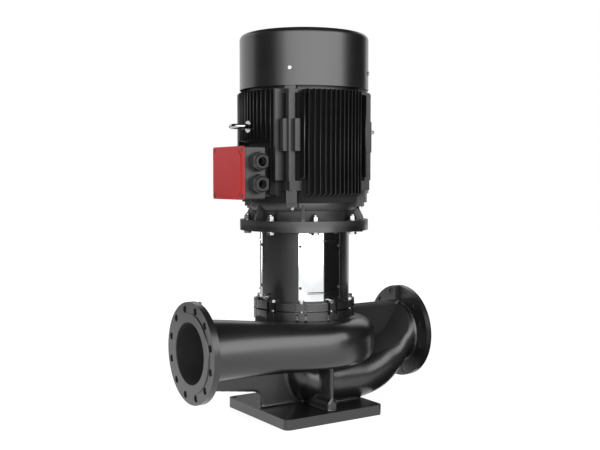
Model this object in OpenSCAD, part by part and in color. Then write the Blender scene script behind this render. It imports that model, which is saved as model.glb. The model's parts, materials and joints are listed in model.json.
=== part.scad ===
// In-line circulation pump: single-stage volute casing with opposed ports, a motor stool with
// three guarded windows, a split coupling and a flanged, fan-cooled electric motor on top.
// Origin: underside of the base plate on the shaft axis. +X points along the pipe to the inlet,
// -X to the outlet and the terminal box, +Z up the shaft. Angles called "a" run from -X to -Y.

/* [Casing] */
// Distance between the two port faces
port_to_port = 900; // [750:10:1100]
// Height of the pipe centre line above the floor
pipe_z = 250; // [235:1:310]
// Outside diameter of the port flanges
flange_d = 340; // [330:1:400]
// Thickness of the port flanges
flange_t = 26; // [20:1:34]
// Bolt circle diameter of the port flanges
flange_pcd = 295; // [285:1:305]
// Number of bolt holes in a port flange
flange_holes = 12; // [8:4:16]
// Diameter of a port bolt hole
flange_hole_d = 22; // [18:1:26]
// Diameter of the raised sealing face
raised_face_d = 266; // [240:1:268]
// Height of the raised sealing face
raised_face_h = 3; // [2:0.5:5]
// Bore of the ports
port_bore_d = 200; // [160:1:206]
// Wall thickness of the casing
casing_wall = 12; // [9:0.5:15]
// Outer radius of the spiral where it starts, at the tongue
spiral_r_start = 185; // [182:1:200]
// Outer radius of the spiral where the outlet pipe leaves it
spiral_r_end = 268; // [240:1:300]
// Half height of the spiral at its widest
spiral_half_h = 78; // [70:1:90]

/* [Base plate] */
// Side length of the square base plate
base_w = 400; // [360:5:480]
// Thickness of the base plate
base_t = 35; // [24:1:40]
// Corner radius of the base plate
base_corner_r = 20; // [10:1:40]
// Distance between base bolt holes along one side
base_hole_spacing = 360; // [300:1:362]
// Diameter of a base bolt hole
base_hole_d = 18; // [14:1:22]

/* [Head joint] */
// Radius of the joint flanges between casing and stool
head_r = 178; // [176:1:190]
// Open gap between the two joint flanges
head_gap = 2.8; // [1.5:0.1:5]
// Thickness of the stool's lower flange
head_flange_t = 24; // [18:1:34]
// Number of head bolts
head_bolts_n = 10; // [8:1:12]
// Thread diameter of the head bolts
head_bolt_d = 12; // [10:1:14]
// Bolt circle radius of the head bolts
head_bolt_r = 168.5; // [168:0.5:169]

/* [Motor stool] */
// Outside radius of the stool columns
stool_r = 158.5; // [150:0.5:160]
// Wall thickness of the stool columns
stool_wall = 13; // [10:0.5:16]
// Height of the stool between its two flanges
stool_h = 243; // [220:1:300]
// Thickness of the stool's upper flange
stool_top_t = 17.5; // [14:0.5:24]
// Angle covered by one stool window, in degrees
window_angle = 61; // [50:1:66]
// Angle from the outlet side to the middle of the front window
window_first_a = 80; // [70:1:90]
// Thickness of the guard sheets
guard_t = 1.5; // [1:0.1:2.5]

/* [Impeller and shaft] */
// Diameter of the impeller
impeller_d = 280; // [240:1:286]
// Number of impeller vanes
vane_n = 6; // [5:1:7]
// Width of the impeller passage at its rim
impeller_b = 26; // [18:1:30]
// Diameter of the pump shaft in the seal
pump_shaft_d = 35; // [30:1:38]
// Diameter of the motor shaft end
motor_shaft_d = 55; // [50:1:60]
// Outside diameter of the coupling
coupling_d = 104; // [96:1:120]
// Running clearance of the impeller neck in its wear ring, per side
neck_clearance = 0.3; // [0.2:0.05:0.6]

/* [Motor] */
// Diameter of the motor flange
motor_flange_d = 450; // [440:1:470]
// Bolt circle diameter of the motor flange
motor_pcd = 400; // [396:1:408]
// Number of motor flange bolts
motor_bolts_n = 8; // [4:4:8]
// Thread diameter of the motor flange bolts
motor_bolt_d = 16; // [12:1:16]
// Thickness of the motor flange
motor_flange_t = 18.5; // [16:0.5:24]
// Radius of the motor barrel under the fins
barrel_r = 192; // [188:1:196]
// Radius over the fin tips
fin_r = 224; // [206:1:225]
// Distance between two fins, middle to middle
fin_pitch = 17.7; // [16:0.1:22]
// Thickness of a fin
fin_t = 3.5; // [3:0.5:6]
// Height of the finned frame
frame_h = 377; // [340:1:420]
// Radius of the fan cover
cowl_r = 225; // [222:1:230]
// Height of the fan cover
cowl_h = 195; // [180:1:240]
// Sheet thickness of the fan cover
cowl_t = 2.5; // [2:0.5:4]

/* [Terminal box] */
// Width of the terminal box
box_w = 213; // [190:1:240]
// Height of the terminal box
box_h = 176; // [170:1:190]
// Distance from the shaft axis to the front of the lid
box_reach = 305.7; // [296:0.1:320]
// Wall thickness of the terminal box
box_wall = 6; // [4:0.5:8]
// Distance across the flats of the cable gland hexagon
gland_af = 57; // [50:1:62]
// Cable hole of a gland
gland_hole_d = 30; // [20:1:34]
// Height between the two glands
gland_pitch = 73.5; // [70:0.5:80]

/* [Hidden] */
$fn = 48;

// Colours
cast_black = [0.16, 0.16, 0.17];
bare_steel = [0.75, 0.76, 0.78];
bright_steel = [0.9, 0.9, 0.92];
bronze = [0.72, 0.5, 0.25];
dark_plastic = [0.22, 0.22, 0.23];
lid_red = [0.66, 0.2, 0.2];

// Small gap between pieces that are seated on each other, and the reach of cuts past a face
seat = 0.2;
past = 1;

// Casing levels and radii
port_r = port_bore_d / 2;
pipe_r = port_r + casing_wall;
port_x = port_to_port / 2;
flange_back_x = port_x - flange_t;
spiral_z = pipe_z + 15;
spiral_top = spiral_z + spiral_half_h;
neck_h = 34;
joint_z = spiral_top + neck_h;
drum_r = head_r - 4;
bowl_bottom = spiral_z - spiral_half_h;
roof_z = bowl_bottom + 14;
tongue_a = 150;
spiral_sweep = 240;
spiral_step = 10;
pipe_steps = 10;
section_n = 20;

// Chambers inside the casing
chamber_r = 146;
chamber_floor = bowl_bottom + 21;
seat_r = 155;
cover_t = 11;
gasket_t = 1.1;
cover_seat_z = joint_z - cover_t - gasket_t;
eye_r = 76;
ring_seat_r = 90;
ring_h = 16;
ring_z = chamber_floor - ring_h;

// Head joint and stool levels
stool_z0 = joint_z + head_gap;
stool_z1 = stool_z0 + head_flange_t;
stool_z2 = stool_z1 + stool_h;
motor_z0 = stool_z2 + stool_top_t;
motor_z1 = motor_z0 + motor_flange_t;
notch_w = 9;
notch_gap = 21;
notch_depth = 12;
head_bolt_a0 = 18;

// Motor levels
shield_h = 60;
frame_z0 = motor_z1 + shield_h;
frame_z1 = frame_z0 + frame_h;
fin_z0 = frame_z0 + 19;
box_z = motor_z0 + 179;
eye_z = frame_z1 - 120;
cowl_z0 = frame_z1 + 10;
cowl_z1 = cowl_z0 + cowl_h;
cowl_screw_z = cowl_z0 + 57;
corner_angles = [45, 135, 225, 315];
lug_angles = [46, 134, 226, 314];

// Impeller and shaft levels
hub_z = spiral_z - 3;
impeller_z0 = hub_z - impeller_b - 1;
impeller_neck_z = ring_z + 2;
impeller_neck_r = 80;
hub_top = hub_z + 38;
hub_bore_r = pump_shaft_d / 2 - 2.5;
ring_inner_r = impeller_neck_r + neck_clearance;
coupling_z0 = stool_z1 + 74;
coupling_h = 154;
coupling_mid = coupling_z0 + 76;
shaft_gap = 4;
coupling_fit = 0.05;
drive_bearing_z = motor_z1 + 7;
fan_bearing_z = frame_z1 - 21;
fan_z = frame_z1 + 42;

// Bearings: bore radius, outer radius, width, pitch radius, ball radius
drive_bearing = [32.5, 70, 33, 51.25, 12];
fan_bearing = [30, 65, 31, 47.5, 11];
ball_n = 8;
ball_play = 0.1;

// Terminal box places
lid_t = 7;
lid_gasket_t = 1.5;
box_front = box_reach - lid_t - lid_gasket_t;
box_back = box_front - 74;
gland_x = -(box_front + box_back) / 2 + 6;
box_side_y = -box_w / 2;

function from_outlet(a) = 180 + a;
function lerp(p, q, t) = p + (q - p) * t;
function ease(t) = t * t * (3 - 2 * t);
function root(v, n) = sign(v) * pow(abs(v), 2 / n);

// Points of a rounded section. It lies in a plane across the flow: [distance from the axis, height].
function rounded_section(mid, out_w, in_w, z, h, n) = [
    for (k = [0:section_n - 1])
        let (c = root(cos(k * 360 / section_n), n), s = root(sin(k * 360 / section_n), n))
        [mid + (c > 0 ? out_w : in_w) * c, z + h * s]
];

// Outline of a rectangle with round corners, each made of short chords
function rounded_rect(x, y, r, chords = 5) = [
    for (q = [0:3], k = [0:chords])
        let (a = 90 * (q + k / chords), sx = q == 0 || q == 3 ? 1 : -1, sy = q < 2 ? 1 : -1)
        [sx * (x / 2 - r) + r * cos(a), sy * (y / 2 - r) + r * sin(a)]
];

// Triangles that skin a row of sections and close both ends
function loft_faces(rows, n) = [
    for (i = [0:rows - 2], k = [0:n - 1])
        let (p = i * n + k, q = i * n + (k + 1) % n)
        each [[p, p + n, q], [q, p + n, q + n]],
    for (k = [1:n - 2]) [0, k, k + 1],
    for (k = [1:n - 2]) [(rows - 1) * n, (rows - 1) * n + k + 1, (rows - 1) * n + k]
];

module loft(sections) {
    n = len(sections[0]);
    polyhedron(points = [for (s = sections) each s], faces = loft_faces(len(sections), n));
}

module ring(outer, inner, z0, z1) {
    rotate_extrude() translate([inner, z0]) square([outer - inner, z1 - z0]);
}

module disc(r, z0, z1) {
    translate([0, 0, z0]) cylinder(r = r, h = z1 - z0);
}

module around(n, r, a0 = 0) {
    for (i = [0:n - 1]) rotate([0, 0, from_outlet(a0) + i * 360 / n]) translate([r, 0, 0]) children();
}

module rounded_plate(x, y, h, r) {
    linear_extrude(h) {
        square([x - 2 * r, y], center = true);
        square([x, y - 2 * r], center = true);
        for (i = [-1, 1], j = [-1, 1]) translate([i * (x / 2 - r), j * (y / 2 - r)]) circle(r);
    }
}

// Hexagon-head screw with a washer face, standing on z = 0 with its shank below
module hex_screw(d, af, head_h, shank, washer_d) {
    washer_t = 0.2 * d;
    cylinder(d = washer_d, h = washer_t);
    translate([0, 0, washer_t]) rotate([0, 0, 30]) cylinder(d = af / cos(30), h = head_h, $fn = 6);
    translate([0, 0, -shank]) cylinder(d = d, h = shank + 0.1);
}

// Volute casing

// Outer wall of the spiral and its outlet pipe, or the water passage when inset by the wall
function spiral_out_r(phi) = lerp(spiral_r_start, spiral_r_end, phi / spiral_sweep);
function spiral_out_w(phi) = lerp(45, 80, phi / spiral_sweep);
function spiral_h(phi) = spiral_half_h * lerp(0.78, 1, min(1, phi / 170));

function spiral_row(phi, inset) =
    let (
        a = tongue_a - phi,
        w = spiral_out_w(phi),
        mid = spiral_out_r(phi) - w,
        core = 110 + inset,
        pts = rounded_section(mid, w - inset, mid - core, spiral_z, spiral_h(phi) - inset, 2.7)
    )
    [for (p = pts) [p[0] * cos(a), p[0] * sin(a), p[1]]];

function outlet_row(t, inset, end_x) =
    let (
        e = ease(t),
        rise = pow(t, 1.7),
        w = spiral_out_w(spiral_sweep),
        mid = spiral_r_end - w,
        out_w = lerp(w, pipe_r, e) - inset,
        in_w = lerp(mid - 110, pipe_r, e) - inset,
        h = lerp(spiral_half_h, pipe_r, rise) - inset,
        pts = rounded_section(lerp(mid, 0, e), out_w, in_w, lerp(spiral_z, pipe_z, rise), h, lerp(2.7, 2, e))
    )
    [for (p = pts) [-t * end_x, -p[0], p[1]]];

module spiral_body(inset) {
    end_x = flange_back_x + flange_t / 2;
    // The passage ends round, just inside the wall of the port that is bored to meet it
    port_step = 0.4;
    meet_x = flange_back_x - 0.5;
    loft([
        for (phi = [inset > 0 ? spiral_step : 0:spiral_step:spiral_sweep - spiral_step]) spiral_row(phi, inset),
        for (i = [0:pipe_steps]) if (inset == 0 || i / pipe_steps * end_x < meet_x)
            outlet_row(i / pipe_steps, inset, end_x),
        if (inset > 0) for (x = [meet_x, meet_x + 7.5]) outlet_row(1, inset + port_step, x)
    ]);
}

// Inlet bend: [x as a share of the way to the flange, floor, roof, half width], all as shares
inlet_shape = [
    [1.03, 1, 1, 1], [1, 1, 0.98, 1], [0.96, 0.98, 0.876, 1], [0.92, 0.87, 0.739, 1],
    [0.875, 0.67, 0.553, 1.01], [0.83, 0.5, 0.391, 1.02], [0.77, 0.3, 0.304, 1.04],
    [0.7, 0.13, 0.242, 1.06], [0.6, 0, 0.1, 1.07], [0.5, -0.08, 0, 1.07], [0.4, -0.13, 0, 1.06],
    [0.3, -0.13, 0, 1.05], [0.21, -0.12, 0, 1.04], [0.14, -0.09, 0, 1.02], [0.07, -0.04, 0, 1.01],
    [0, 0.03, 0, 1], [-0.047, 0.1, 0, 0.97], [-0.09, 0.22, 0, 0.87], [-0.123, 0.39, 0, 0.74],
    [-0.148, 0.6, 0, 0.58], [-0.168, 0.83, 0, 0.42], [-0.182, 1.06, 0, 0.26], [-0.191, 1.25, -0.02, 0.13]
];

function inlet_row(s, inset) =
    let (
        x = s[0] * flange_back_x + (s[0] < 0.1 ? inset * (0.1 - s[0]) / 0.29 : 0),
        low = base_t + s[1] * (pipe_z - pipe_r - base_t) + inset,
        open_top = roof_z + s[2] * (pipe_z + pipe_r - roof_z) - inset,
        top = inset > 0 && s[0] < 0.65 ? min(open_top, bowl_bottom - 10) : open_top,
        z = (low + top) / 2,
        half_w = s[3] * pipe_r - inset,
        pts = rounded_section(0, half_w, half_w, z, (top - low) / 2, s[0] > 0.9 ? 2 : 2.3)
    )
    [for (p = pts) [x, -p[0], p[1]]];

module inlet_body(inset) {
    rows = inset > 0 ? [for (i = [0:len(inlet_shape) - 5]) inlet_shape[i]] : inlet_shape;
    loft([for (s = rows) inlet_row(s, inset)]);
}

// Port flange with its raised face and one radial rib on the back, facing along +X
module port_flange() {
    translate([flange_back_x, 0, pipe_z]) rotate([0, 90, 0]) {
        cylinder(d = flange_d, h = flange_t - raised_face_h);
        cylinder(d = raised_face_d, h = flange_t);
    }
    rib_t = 14;
    rib_reach = 16;
    translate([flange_back_x - rib_reach, -rib_t / 2, pipe_z + pipe_r - 20])
        cube([rib_reach + past, rib_t, flange_d / 2 - pipe_r + 20 - 1]);
}

module port_cuts(hole_d) {
    hole_a0 = 180 / flange_holes;
    translate([flange_back_x - past, 0, pipe_z]) rotate([0, 90, 0]) {
        cylinder(d = port_bore_d, h = flange_t + 2 * past);
        for (i = [0:flange_holes - 1]) rotate([0, 0, hole_a0 + i * 360 / flange_holes])
            translate([flange_pcd / 2, 0, -20]) cylinder(d = hole_d, h = flange_t + 40);
    }
}

module vertical_web(points, t) {
    translate([0, t / 2, 0]) rotate([90, 0, 0]) linear_extrude(t) polygon(points);
}

// Flange outline of the head joint: a disc with a notch on each side of every bolt boss
module head_flange(z0, z1) {
    difference() {
        disc(head_r, z0, z1);
        around(head_bolts_n, head_r - notch_depth, head_bolt_a0) for (j = [-1, 1])
            translate([0, j * (notch_gap + notch_w) / 2 - notch_w / 2, z0 - past])
                cube([notch_depth + 10, notch_w, z1 - z0 + 2 * past]);
    }
}

web_t = 14;
foot_rib_t = 13;
drain_w = 40;
drain_h = 40;
drain_y = -(base_w / 2 - 20);

module foot() {
    bend = 25;
    under = base_t + 57;
    inner_x = -base_w / 2 + 12;
    rounded_plate(base_w, base_w, base_t, base_corner_r);
    // Web under the outlet pipe, with a rounded inner corner over the base plate
    difference() {
        vertical_web([
            [-flange_back_x - past, under + 30], [inner_x - bend, under], [inner_x, under - bend],
            [inner_x + 12, base_t - past], [-20, base_t - past], [-20, pipe_z], [-flange_back_x - past, pipe_z]
        ], web_t);
        translate([inner_x - bend, 0, under - bend]) rotate([90, 0, 0])
            cylinder(r = 0.72 * bend, h = web_t + 2 * past, center = true);
    }
    // Rib at the front, standing on the drain channel
    translate([-foot_rib_t / 2, drain_y, base_t + drain_h / 2])
        cube([foot_rib_t, -drain_y - 60, bowl_bottom - base_t]);
    translate([0, -60, base_t]) rotate([90, 0, 0]) linear_extrude(-drain_y - 60 + 2) {
        translate([-drain_w / 2, -past]) square([drain_w, drain_h - drain_w / 2 + past]);
        translate([0, drain_h - drain_w / 2]) circle(d = drain_w);
    }
}

module top_web() {
    drop = 8;
    vertical_web([
        [drum_r - 20, joint_z - drop - 30], [drum_r - 20, joint_z - drop], [flange_back_x + past, joint_z - drop + 2],
        [flange_back_x + past, pipe_z + pipe_r - 30], [0.8 * flange_back_x, pipe_z - 20], [drum_r - 20, pipe_z]
    ], web_t);
}

module head_bolt_holes(d, z0, z1) {
    around(head_bolts_n, head_bolt_r, head_bolt_a0) translate([0, 0, z0]) cylinder(d = d, h = z1 - z0);
}

head_bolt_depth = 26;
inlet_hole_play = 0.4;

module pump_housing() {
    color(cast_black) difference() {
        union() {
            spiral_body(0);
            inlet_body(0);
            disc(drum_r, bowl_bottom + 6, spiral_top);
            head_flange(spiral_top - 5, joint_z);
            foot();
            top_web();
            port_flange();
            mirror([1, 0, 0]) port_flange();
        }
        spiral_body(casing_wall);
        inlet_body(casing_wall);
        disc(chamber_r, chamber_floor, joint_z + past);
        disc(seat_r, cover_seat_z, joint_z + past);
        disc(ring_seat_r, ring_z, chamber_floor + past);
        disc(eye_r, bowl_bottom - 50, ring_z + past);
        // The inlet's holes have a little more play, for bolts that go in last between fixed pipes
        port_cuts(flange_hole_d + inlet_hole_play);
        mirror([1, 0, 0]) port_cuts(flange_hole_d);
        head_bolt_holes(head_bolt_d + 0.2, joint_z - head_bolt_depth, joint_z + past);
        for (i = [-1, 1], j = [-1, 1])
            translate([i * base_hole_spacing / 2, j * base_hole_spacing / 2, -past])
                cylinder(d = base_hole_d, h = base_t + 2 * past);
        // Drain hole for condensate in the foot
        translate([0, drain_y - 5, base_t + 18]) rotate([-90, 0, 0]) cylinder(d = 6, h = 30);
    }
}

module wear_ring() {
    color(bronze) ring(ring_seat_r - coupling_fit, ring_inner_r, ring_z, ring_z + ring_h);
}

module cover_gasket() {
    color("dimgray") ring(seat_r - 0.3, chamber_r + 0.5, cover_seat_z, cover_seat_z + gasket_t);
}

seal_bore_r = 30;
seal_chamber_r = 42;
cover_face_z = hub_z + 14;

module pump_cover() {
    pocket_in = seal_chamber_r + 12;
    pocket_out = chamber_r - 14;
    shell = 12;
    wall_top = joint_z - 26;
    color(cast_black) rotate_extrude() difference() {
        union() {
            translate([seal_bore_r, cover_face_z]) square([chamber_r - seat - seal_bore_r, joint_z - cover_face_z]);
            translate([seal_bore_r, joint_z - cover_t]) square([seat_r - 0.3 - seal_bore_r, cover_t]);
        }
        translate([0, cover_face_z - past]) square([seal_chamber_r, wall_top - cover_face_z + past]);
        translate([pocket_in, cover_face_z + shell]) square([pocket_out - pocket_in, joint_z]);
    }
}

module head_bolts() {
    head_h = 7.5;
    grip = head_flange_t + head_gap + head_bolt_depth - 3;
    color(bright_steel) around(head_bolts_n, head_bolt_r, head_bolt_a0)
        translate([0, 0, stool_z1]) hex_screw(head_bolt_d, 1.5 * head_bolt_d, head_h, grip, 1.56 * head_bolt_d);
}

// Motor stool

window_z0 = stool_z1 + 5;
window_z1 = stool_z2 - 5;
rebate_w = 19;
rebate_h = 9;
rebate_depth = 6;
flange_floor_r = stool_r - rebate_depth;
spigot_r = 175;
spigot_h = 5;
guard_screw_d = 6;
window_angles = [for (i = [0:2]) window_first_a + 120 * i];
window_w = 2 * stool_r * sin(window_angle / 2);
guard_screw_a = asin((window_w / 2 - rebate_w / 2) / flange_floor_r);
guard_screw_levels = [window_z0 + 46, window_z1 - 46];

module window_cut(w, z0, z1, corner) {
    translate([stool_r - stool_wall - 20, 0, (z0 + z1) / 2]) rotate([0, 90, 0])
        linear_extrude(60) polygon(rounded_rect(z1 - z0, w, corner));
}

module guard_screw_places() {
    for (a = window_angles, j = [-1, 1], z = guard_screw_levels)
        rotate([0, 0, from_outlet(a + j * guard_screw_a)]) translate([flange_floor_r, 0, z]) rotate([0, 90, 0]) children();
}

vent_a = 6;
vent_z = stool_z1 + 16;
vent_d = 14;

module motor_stool() {
    inner_r = stool_r - stool_wall;
    floor_r = 100;
    color(cast_black) difference() {
        union() {
            head_flange(stool_z0, stool_z1);
            ring(seat_r - 1, floor_r, joint_z, stool_z0 + past);
            disc(stool_r, stool_z0 + 2, stool_z2 + 5);
            difference() {
                disc(motor_flange_d / 2, stool_z2, motor_z0);
                disc(spigot_r + 0.1, motor_z0 - spigot_h - 0.5, motor_z0 + past);
            }
            // Boss of the air vent
            rotate([0, 0, from_outlet(vent_a)]) translate([stool_r - 6, 0, vent_z]) rotate([0, 90, 0])
                cylinder(d = vent_d + 8, h = 9);
        }
        disc(floor_r, joint_z - past, stool_z1 + 1);
        disc(inner_r, stool_z1, motor_z0 + past);
        for (a = window_angles) rotate([0, 0, from_outlet(a)]) {
            window_cut(window_w - 2 * rebate_w, window_z0 + rebate_h, window_z1 - rebate_h, 4);
            intersection() {
                window_cut(window_w, window_z0, window_z1, 9);
                ring(stool_r + 10, flange_floor_r, window_z0 - 5, window_z1 + 5);
            }
        }
        head_bolt_holes(head_bolt_d + 1.2, joint_z - past, stool_z1 + past);
        around(motor_bolts_n, motor_pcd / 2, 180 / motor_bolts_n)
            translate([0, 0, stool_z2 - past]) cylinder(d = motor_bolt_d + 1.5, h = stool_top_t + 2 * past);
        guard_screw_places() translate([0, 0, -20]) cylinder(d = guard_screw_d, h = 30);
        rotate([0, 0, from_outlet(vent_a)]) translate([stool_r - 25, 0, vent_z]) rotate([0, 90, 0])
            cylinder(d = vent_d, h = 60);
    }
}

// Sector of a flat ring between two radii, from angle a0 to a1
module ring_sector(r0, r1, a0, a1) {
    far = 2 * r1;
    intersection() {
        difference() {
            circle(r1);
            circle(r0);
        }
        polygon([[0, 0], [far * cos(a0), far * sin(a0)], [far, 0], [far * cos(a1), far * sin(a1)]]);
    }
}

// Bent guard sheet: two screwed edges, a raised middle and two pressed beads
module coupling_guard(a) {
    edge_a = asin((window_w / 2 - 0.6) / (stool_r + 1));
    step_a = edge_a - 7;
    in_r = flange_floor_r + seat;
    mid_r = stool_r - 3;
    z0 = window_z0 + 1;
    z1 = window_z1 - 1;
    bead_a = step_a - 4;
    bead_h = 7;
    color(bright_steel) rotate([0, 0, from_outlet(a)]) difference() {
        union() {
            translate([0, 0, z0]) linear_extrude(z1 - z0) {
                ring_sector(in_r, in_r + guard_t, -edge_a, edge_a);
                ring_sector(mid_r, mid_r + guard_t, -step_a, step_a);
                for (j = [-1, 1]) rotate(j * (step_a - 0.3))
                    translate([in_r + 0.4, -guard_t / 2]) square([mid_r + guard_t - in_r - 0.8, guard_t]);
            }
            for (z = [z0 + 28, z1 - 28]) rotate([0, 0, -bead_a]) rotate_extrude(angle = 2 * bead_a)
                translate([mid_r + guard_t - 1, z]) polygon([[0, -bead_h / 2], [1, -bead_h / 2], [3.2, -1], [3.2, 1], [1, bead_h / 2], [0, bead_h / 2]]);
        }
        // Behind the raised middle the sheet is open
        translate([0, 0, z0 - past]) linear_extrude(z1 - z0 + 2 * past)
            ring_sector(in_r - 5, mid_r, 1.2 - step_a, step_a - 1.2);
        for (j = [-1, 1], z = guard_screw_levels) rotate([0, 0, j * guard_screw_a])
            translate([in_r - 5, 0, z]) rotate([0, 90, 0]) cylinder(d = guard_screw_d + 0.8, h = 12);
    }
}

module coupling_guard_front() { coupling_guard(window_angles[0]); }
module coupling_guard_inlet_side() { coupling_guard(window_angles[1]); }
module coupling_guard_outlet_side() { coupling_guard(window_angles[2]); }

module guard_screws() {
    color(bare_steel) guard_screw_places() {
        translate([0, 0, seat + guard_t + 0.05]) cylinder(d = 10, h = 3.2);
        translate([0, 0, -5.5]) cylinder(d = guard_screw_d - 0.2, h = 8);
    }
}

module vent_valve_body() {
    color(bare_steel) rotate([0, 0, from_outlet(vent_a)]) translate([stool_r + 3, 0, vent_z]) rotate([0, 90, 0])
        difference() {
            union() {
                translate([0, 0, -18]) cylinder(d = vent_d - 0.2, h = 22);
                cylinder(d = 19 / cos(30), h = 7, $fn = 6);
                cylinder(d = 15, h = 10);
            }
            translate([0, 0, -19]) cylinder(d = 4, h = 40);
            translate([0, 0, 2]) cylinder(d = 8.1, h = 10);
        }
}

module vent_screw() {
    color(bronze) rotate([0, 0, from_outlet(vent_a)]) translate([stool_r + 3, 0, vent_z]) rotate([0, 90, 0])
        difference() {
            union() {
                translate([0, 0, 2.2]) cylinder(d = 8, h = 10);
                translate([0, 0, 10.2]) cylinder(d = 12, h = 4);
            }
            translate([0, 0, 11.4]) cube([20, 1.6, 6], center = true);
        }
}

// Rotor of the pump

module vane_outline() {
    // Backward-curved vane: a strip along an arc from the eye to the rim
    arc_r = 0.3 * impeller_d;
    vane_t = 6;
    intersection() {
        translate([0.267 * impeller_d, 0]) difference() {
            circle(arc_r + vane_t / 2);
            circle(arc_r - vane_t / 2);
        }
        difference() {
            circle(impeller_d / 2 - 0.5);
            circle(0.22 * impeller_d);
        }
        translate([-impeller_d, -impeller_d]) square([2 * impeller_d, impeller_d]);
    }
}

module impeller() {
    rim = impeller_d / 2;
    shroud_t = 6;
    color(cast_black) difference() {
        union() {
            ring(rim, hub_bore_r + 0.02, hub_z, hub_z + 7);
            ring(hub_bore_r + 12, hub_bore_r + 0.02, hub_z - 12, hub_top);
            // Front shroud with the neck that runs in the wear ring
            rotate_extrude() polygon([
                [impeller_neck_r, impeller_neck_z], [impeller_neck_r, impeller_z0 - 9],
                [rim, impeller_z0 - shroud_t + 3], [rim, impeller_z0 + 1], [impeller_neck_r - 6, impeller_z0 - 3],
                [impeller_neck_r - 6, impeller_neck_z]
            ]);
            intersection() {
                for (i = [0:vane_n - 1]) rotate([0, 0, i * 360 / vane_n])
                    translate([0, 0, impeller_z0 - 4]) linear_extrude(hub_z - impeller_z0 + 6) vane_outline();
                rotate_extrude() polygon([
                    [20, hub_z + 2], [rim - 0.5, hub_z + 2], [rim - 0.5, impeller_z0 - 1],
                    [impeller_neck_r - 4, impeller_z0 - 5], [20, impeller_z0 - 4]
                ]);
            }
        }
        translate([0, -4, hub_z - 13]) cube([hub_bore_r + 3.5, 8, hub_top - hub_z + 20]);
    }
}

module impeller_key() {
    color(bare_steel) translate([hub_bore_r - 3.4, -3.95, hub_z - 8]) cube([6.6, 7.9, 38]);
}

module impeller_washer() {
    color(bare_steel) ring(hub_bore_r + 9, 6.2, hub_z - 12 - 4, hub_z - 12);
}

module impeller_screw() {
    color(bright_steel) {
        translate([0, 0, hub_z - 24]) cylinder(d = 20, h = 8, $fn = 6);
        translate([0, 0, hub_z - 17]) cylinder(d = 11.8, h = 34);
    }
}

module pump_shaft() {
    seal_r = pump_shaft_d / 2;
    top_z = coupling_mid - shaft_gap / 2;
    color(bright_steel) difference() {
        union() {
            disc(hub_bore_r - 0.02, hub_z - 11.8, hub_top + 1);
            disc(seal_r, hub_top + 0.2, coupling_z0 - 8);
            disc(motor_shaft_d / 2 - 6, coupling_z0 - 10, top_z);
        }
        disc(6, hub_z - 12.5, hub_z + 19);
        translate([hub_bore_r - 3.5, -4, hub_z - 13]) cube([6, 8, 45]);
        translate([0, -40, coupling_z0 + 20]) rotate([-90, 0, 0]) cylinder(d = 8.1, h = 80);
    }
}

// Shaft seal

seal_face_z = joint_z - 31;

module seal_seat() {
    color("ivory") ring(seal_bore_r - 0.1, pump_shaft_d / 2 + 1.5, seal_face_z, joint_z - 16);
}

module seal_head() {
    shaft_r = pump_shaft_d / 2;
    color("dimgray") union() {
        ring(shaft_r + 10.5, shaft_r + 0.02, seal_face_z - 12.2, seal_face_z - 0.2);
        ring(shaft_r + 4, shaft_r + 0.02, hub_top + 6, seal_face_z - 12);
        ring(shaft_r + 12, shaft_r + 0.02, hub_top + 1.4, hub_top + 6.2);
    }
}

spring_turns = 3.5;
spring_sides = 6;
spring_wire = 1.6;

// Closed rows of wire sections along a helix
module seal_spring() {
    z0 = hub_top + 6.4 + spring_wire;
    z1 = seal_face_z - 12.4 - spring_wire;
    r = pump_shaft_d / 2 + 8;
    steps = 14;
    color(bare_steel) loft([
        for (i = [0:spring_turns * steps])
            let (a = i * 360 / steps, z = lerp(z0, z1, i / (spring_turns * steps)))
            [for (k = [0:spring_sides - 1])
                let (b = -k * 360 / spring_sides, d = r + spring_wire * cos(b))
                [d * cos(a), d * sin(a), z + spring_wire * sin(b)]]
    ]);
}

// Split coupling

coupling_screw_y = coupling_d / 2 - 13;
coupling_screw_levels = [coupling_z0 + 26, coupling_z0 + 56, coupling_z0 + 98, coupling_z0 + 128];

module coupling_half() {
    split = 1.5;
    difference() {
        disc(coupling_d / 2, coupling_z0, coupling_z0 + coupling_h);
        translate([-coupling_d, -coupling_d + split, coupling_z0 - past])
            cube([2 * coupling_d, coupling_d, coupling_h + 2 * past]);
        disc(motor_shaft_d / 2 - 6 + coupling_fit, coupling_z0 - past, coupling_mid);
        disc(motor_shaft_d / 2 + coupling_fit, coupling_mid - shaft_gap, coupling_z0 + coupling_h + past);
        translate([0, 0, coupling_z0 + 20]) rotate([-90, 0, 0]) cylinder(d = 8.1, h = motor_shaft_d / 2 + 12);
        for (i = [-1, 1], z = coupling_screw_levels) translate([i * coupling_screw_y, 0, z]) rotate([-90, 0, 0]) {
            cylinder(d = 10.2, h = coupling_d);
            translate([0, 0, 20]) cylinder(d = 17, h = coupling_d);
        }
    }
}

module coupling_half_front() { color(bare_steel) rotate([0, 0, 180]) coupling_half(); }
module coupling_half_rear() { color(bare_steel) coupling_half(); }

module coupling_screws() {
    color([0.3, 0.3, 0.32]) for (i = [-1, 1], z = coupling_screw_levels)
        translate([i * coupling_screw_y, 0, z]) rotate([90, 0, 0]) {
            translate([0, 0, 20.1]) cylinder(d = 16, h = 9);
            translate([0, 0, -20]) cylinder(d = 10, h = 41);
            translate([0, 0, -28]) cylinder(d = 16, h = 7.9, $fn = 6);
        }
}

module coupling_pin() {
    color(bare_steel) translate([0, -motor_shaft_d / 2 - 11, coupling_z0 + 20]) rotate([-90, 0, 0])
        cylinder(d = 8, h = motor_shaft_d + 22);
}

// Motor

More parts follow.
